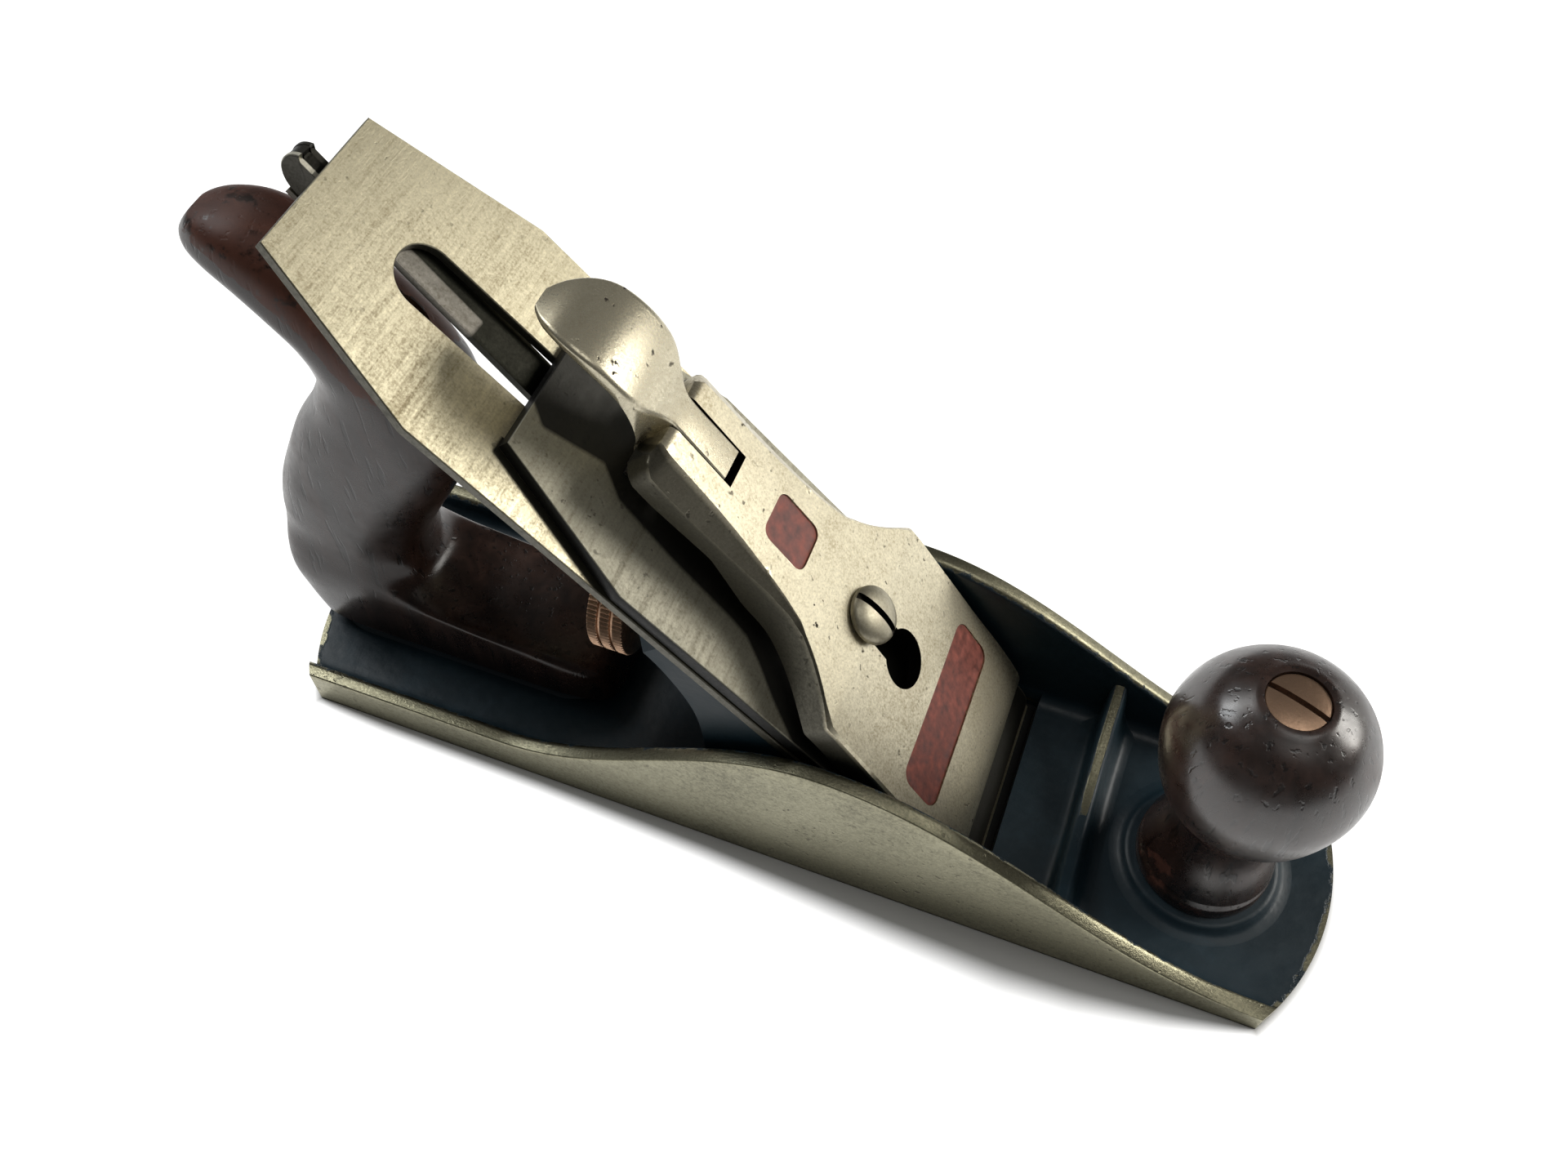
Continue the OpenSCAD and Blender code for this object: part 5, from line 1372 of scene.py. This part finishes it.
def table_finish():
    """White table. It shines for the camera and for reflections, so that it photographs white, except under
    the body, where its colour is painted dark as shade, and in a strip along the near cheek, widest between
    the hump and the toe, where it does not shine: a painted contact shadow of given widths."""
    material, tree, shader = new_material("table_white")
    x, y, _ = place_numbers(tree)
    widest = 6.0
    # painted contact shadow: widths of the strip along the near cheek, in mm
    widths = [(-108, 0.0), (-90, 0.7), (-50, 1.2), (-10, 2.3), (30, 4.2), (57, 5.4), (72, 4.9), (90, 3.0),
              (107, 0.0)]
    along = x / (2 * TOE_X * MM) + 0.5
    strip = ramp(along, [(at / (2 * TOE_X) + 0.5, width / widest) for at, width in widths])
    strip = strip * (widest * MM) * (y < 0.0)
    side = abs(y) - HALF_W * MM
    across = y / (HALF_W * MM)
    end = abs(x) - (TOE_X * MM - across * across * (END_BULGE * MM))
    rays = put(tree, "ShaderNodeLightPath").outputs
    camera_ray, glossy_ray = Field(rays["Is Camera Ray"]), Field(rays["Is Glossy Ray"])
    fade = strip * 0.75 + 0.0016 + glossy_ray * 0.006
    clear = ((side - strip) / fade).highest(end / 0.002).lowest(1.0).highest(0.0)
    # painted shade: under the body the table's colour is dark
    under = (side.highest(end) * -1000.0).clamped()
    feed(shader, Base_Color=mix(under, (0.76, 0.76, 0.75), (0.02, 0.02, 0.02)), Roughness=0.7,
         Specular_IOR_Level=0.2, Emission_Color=WHITE,
         Emission_Strength=clear ** 1.2 * camera_ray.highest(glossy_ray) * 0.85)
    return material


class PLANE_OT_stage(bpy.types.Operator):
    """White table, daylight from the right and behind, and the camera"""
    bl_idname = "plane.stage"
    bl_label = "Stage"

    def execute(self, context):
        scene = context.scene
        world = bpy.data.worlds.new("daylight")
        world.use_nodes = True
        tree = world.node_tree
        rays = put(tree, "ShaderNodeLightPath").outputs
        seen = Field(rays["Is Camera Ray"]).highest(Field(rays["Is Transmission Ray"]))
        strength = value_of(tree, "ShaderNodeMapRange", {"Value": seen, "To Min": 0.06, "To Max": 1.0})
        feed(tree.nodes["Background"].inputs, Color=WHITE, Strength=strength)
        scene.world = world
        sides = (-TABLE_HALF, TABLE_HALF)
        sheets = [np.array([[[x, y, z] for y in sides] for x in sides]) for z in (0.0, -TABLE_T)]
        table = slab("table", *sheets)
        table.materials.append(table_finish())
        floor = bpy.data.objects.new("table", table)
        scene.collection.objects.link(floor)
        for lamp in LAMPS:
            area_lamp(*lamp)
        camera = bpy.data.objects.new("camera", bpy.data.cameras.new("camera"))
        camera.data.sensor_width, camera.data.lens = 36.0, LENS
        camera.location = CAMERA_PLACE
        camera.rotation_euler = [math.radians(angle) for angle in CAMERA_TURN]
        camera.data.clip_start, camera.data.clip_end = 0.01, 20
        scene.collection.objects.link(camera)
        scene.camera = camera
        scene.view_settings.view_transform = "Standard"
        return {"FINISHED"}


PIECES = (PLANE_OT_body, PLANE_OT_frog, PLANE_OT_irons, PLANE_OT_lever_cap, PLANE_OT_cam_lever,
          PLANE_OT_lateral_lever, PLANE_OT_depth_wheel, PLANE_OT_knob, PLANE_OT_tote, PLANE_OT_stage)


class PLANE_PT_pieces(bpy.types.Panel):
    """Lists the pieces, sizes and colours of the plane"""
    bl_idname = "PLANE_PT_pieces"
    bl_label = "Smoothing plane"
    bl_space_type = "VIEW_3D"
    bl_region_type = "UI"
    bl_category = "Plane"

    def draw(self, context):
        for settings in (context.scene.plane_sizes, context.scene.plane_colours):
            column = self.layout.column()
            for name in settings.__annotations__:
                column.prop(settings, name)
        for piece in PIECES:
            self.layout.operator(piece.bl_idname)


CLASSES = (PlaneSizes, PlaneColours, *PIECES, PLANE_PT_pieces)


def register():
    for each in CLASSES:
        bpy.utils.register_class(each)
    bpy.types.Scene.plane_sizes = PointerProperty(type=PlaneSizes)
    bpy.types.Scene.plane_colours = PointerProperty(type=PlaneColours)


def unregister():
    del bpy.types.Scene.plane_colours
    del bpy.types.Scene.plane_sizes
    for each in reversed(CLASSES):
        bpy.utils.unregister_class(each)


def main():
    """Builds every piece in order."""
    register()
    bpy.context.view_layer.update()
    for piece in PIECES:
        family, verb = piece.bl_idname.split(".")
        getattr(getattr(bpy.ops, family), verb)()
    bpy.context.view_layer.update()


if __name__ == "__main__":
    main()
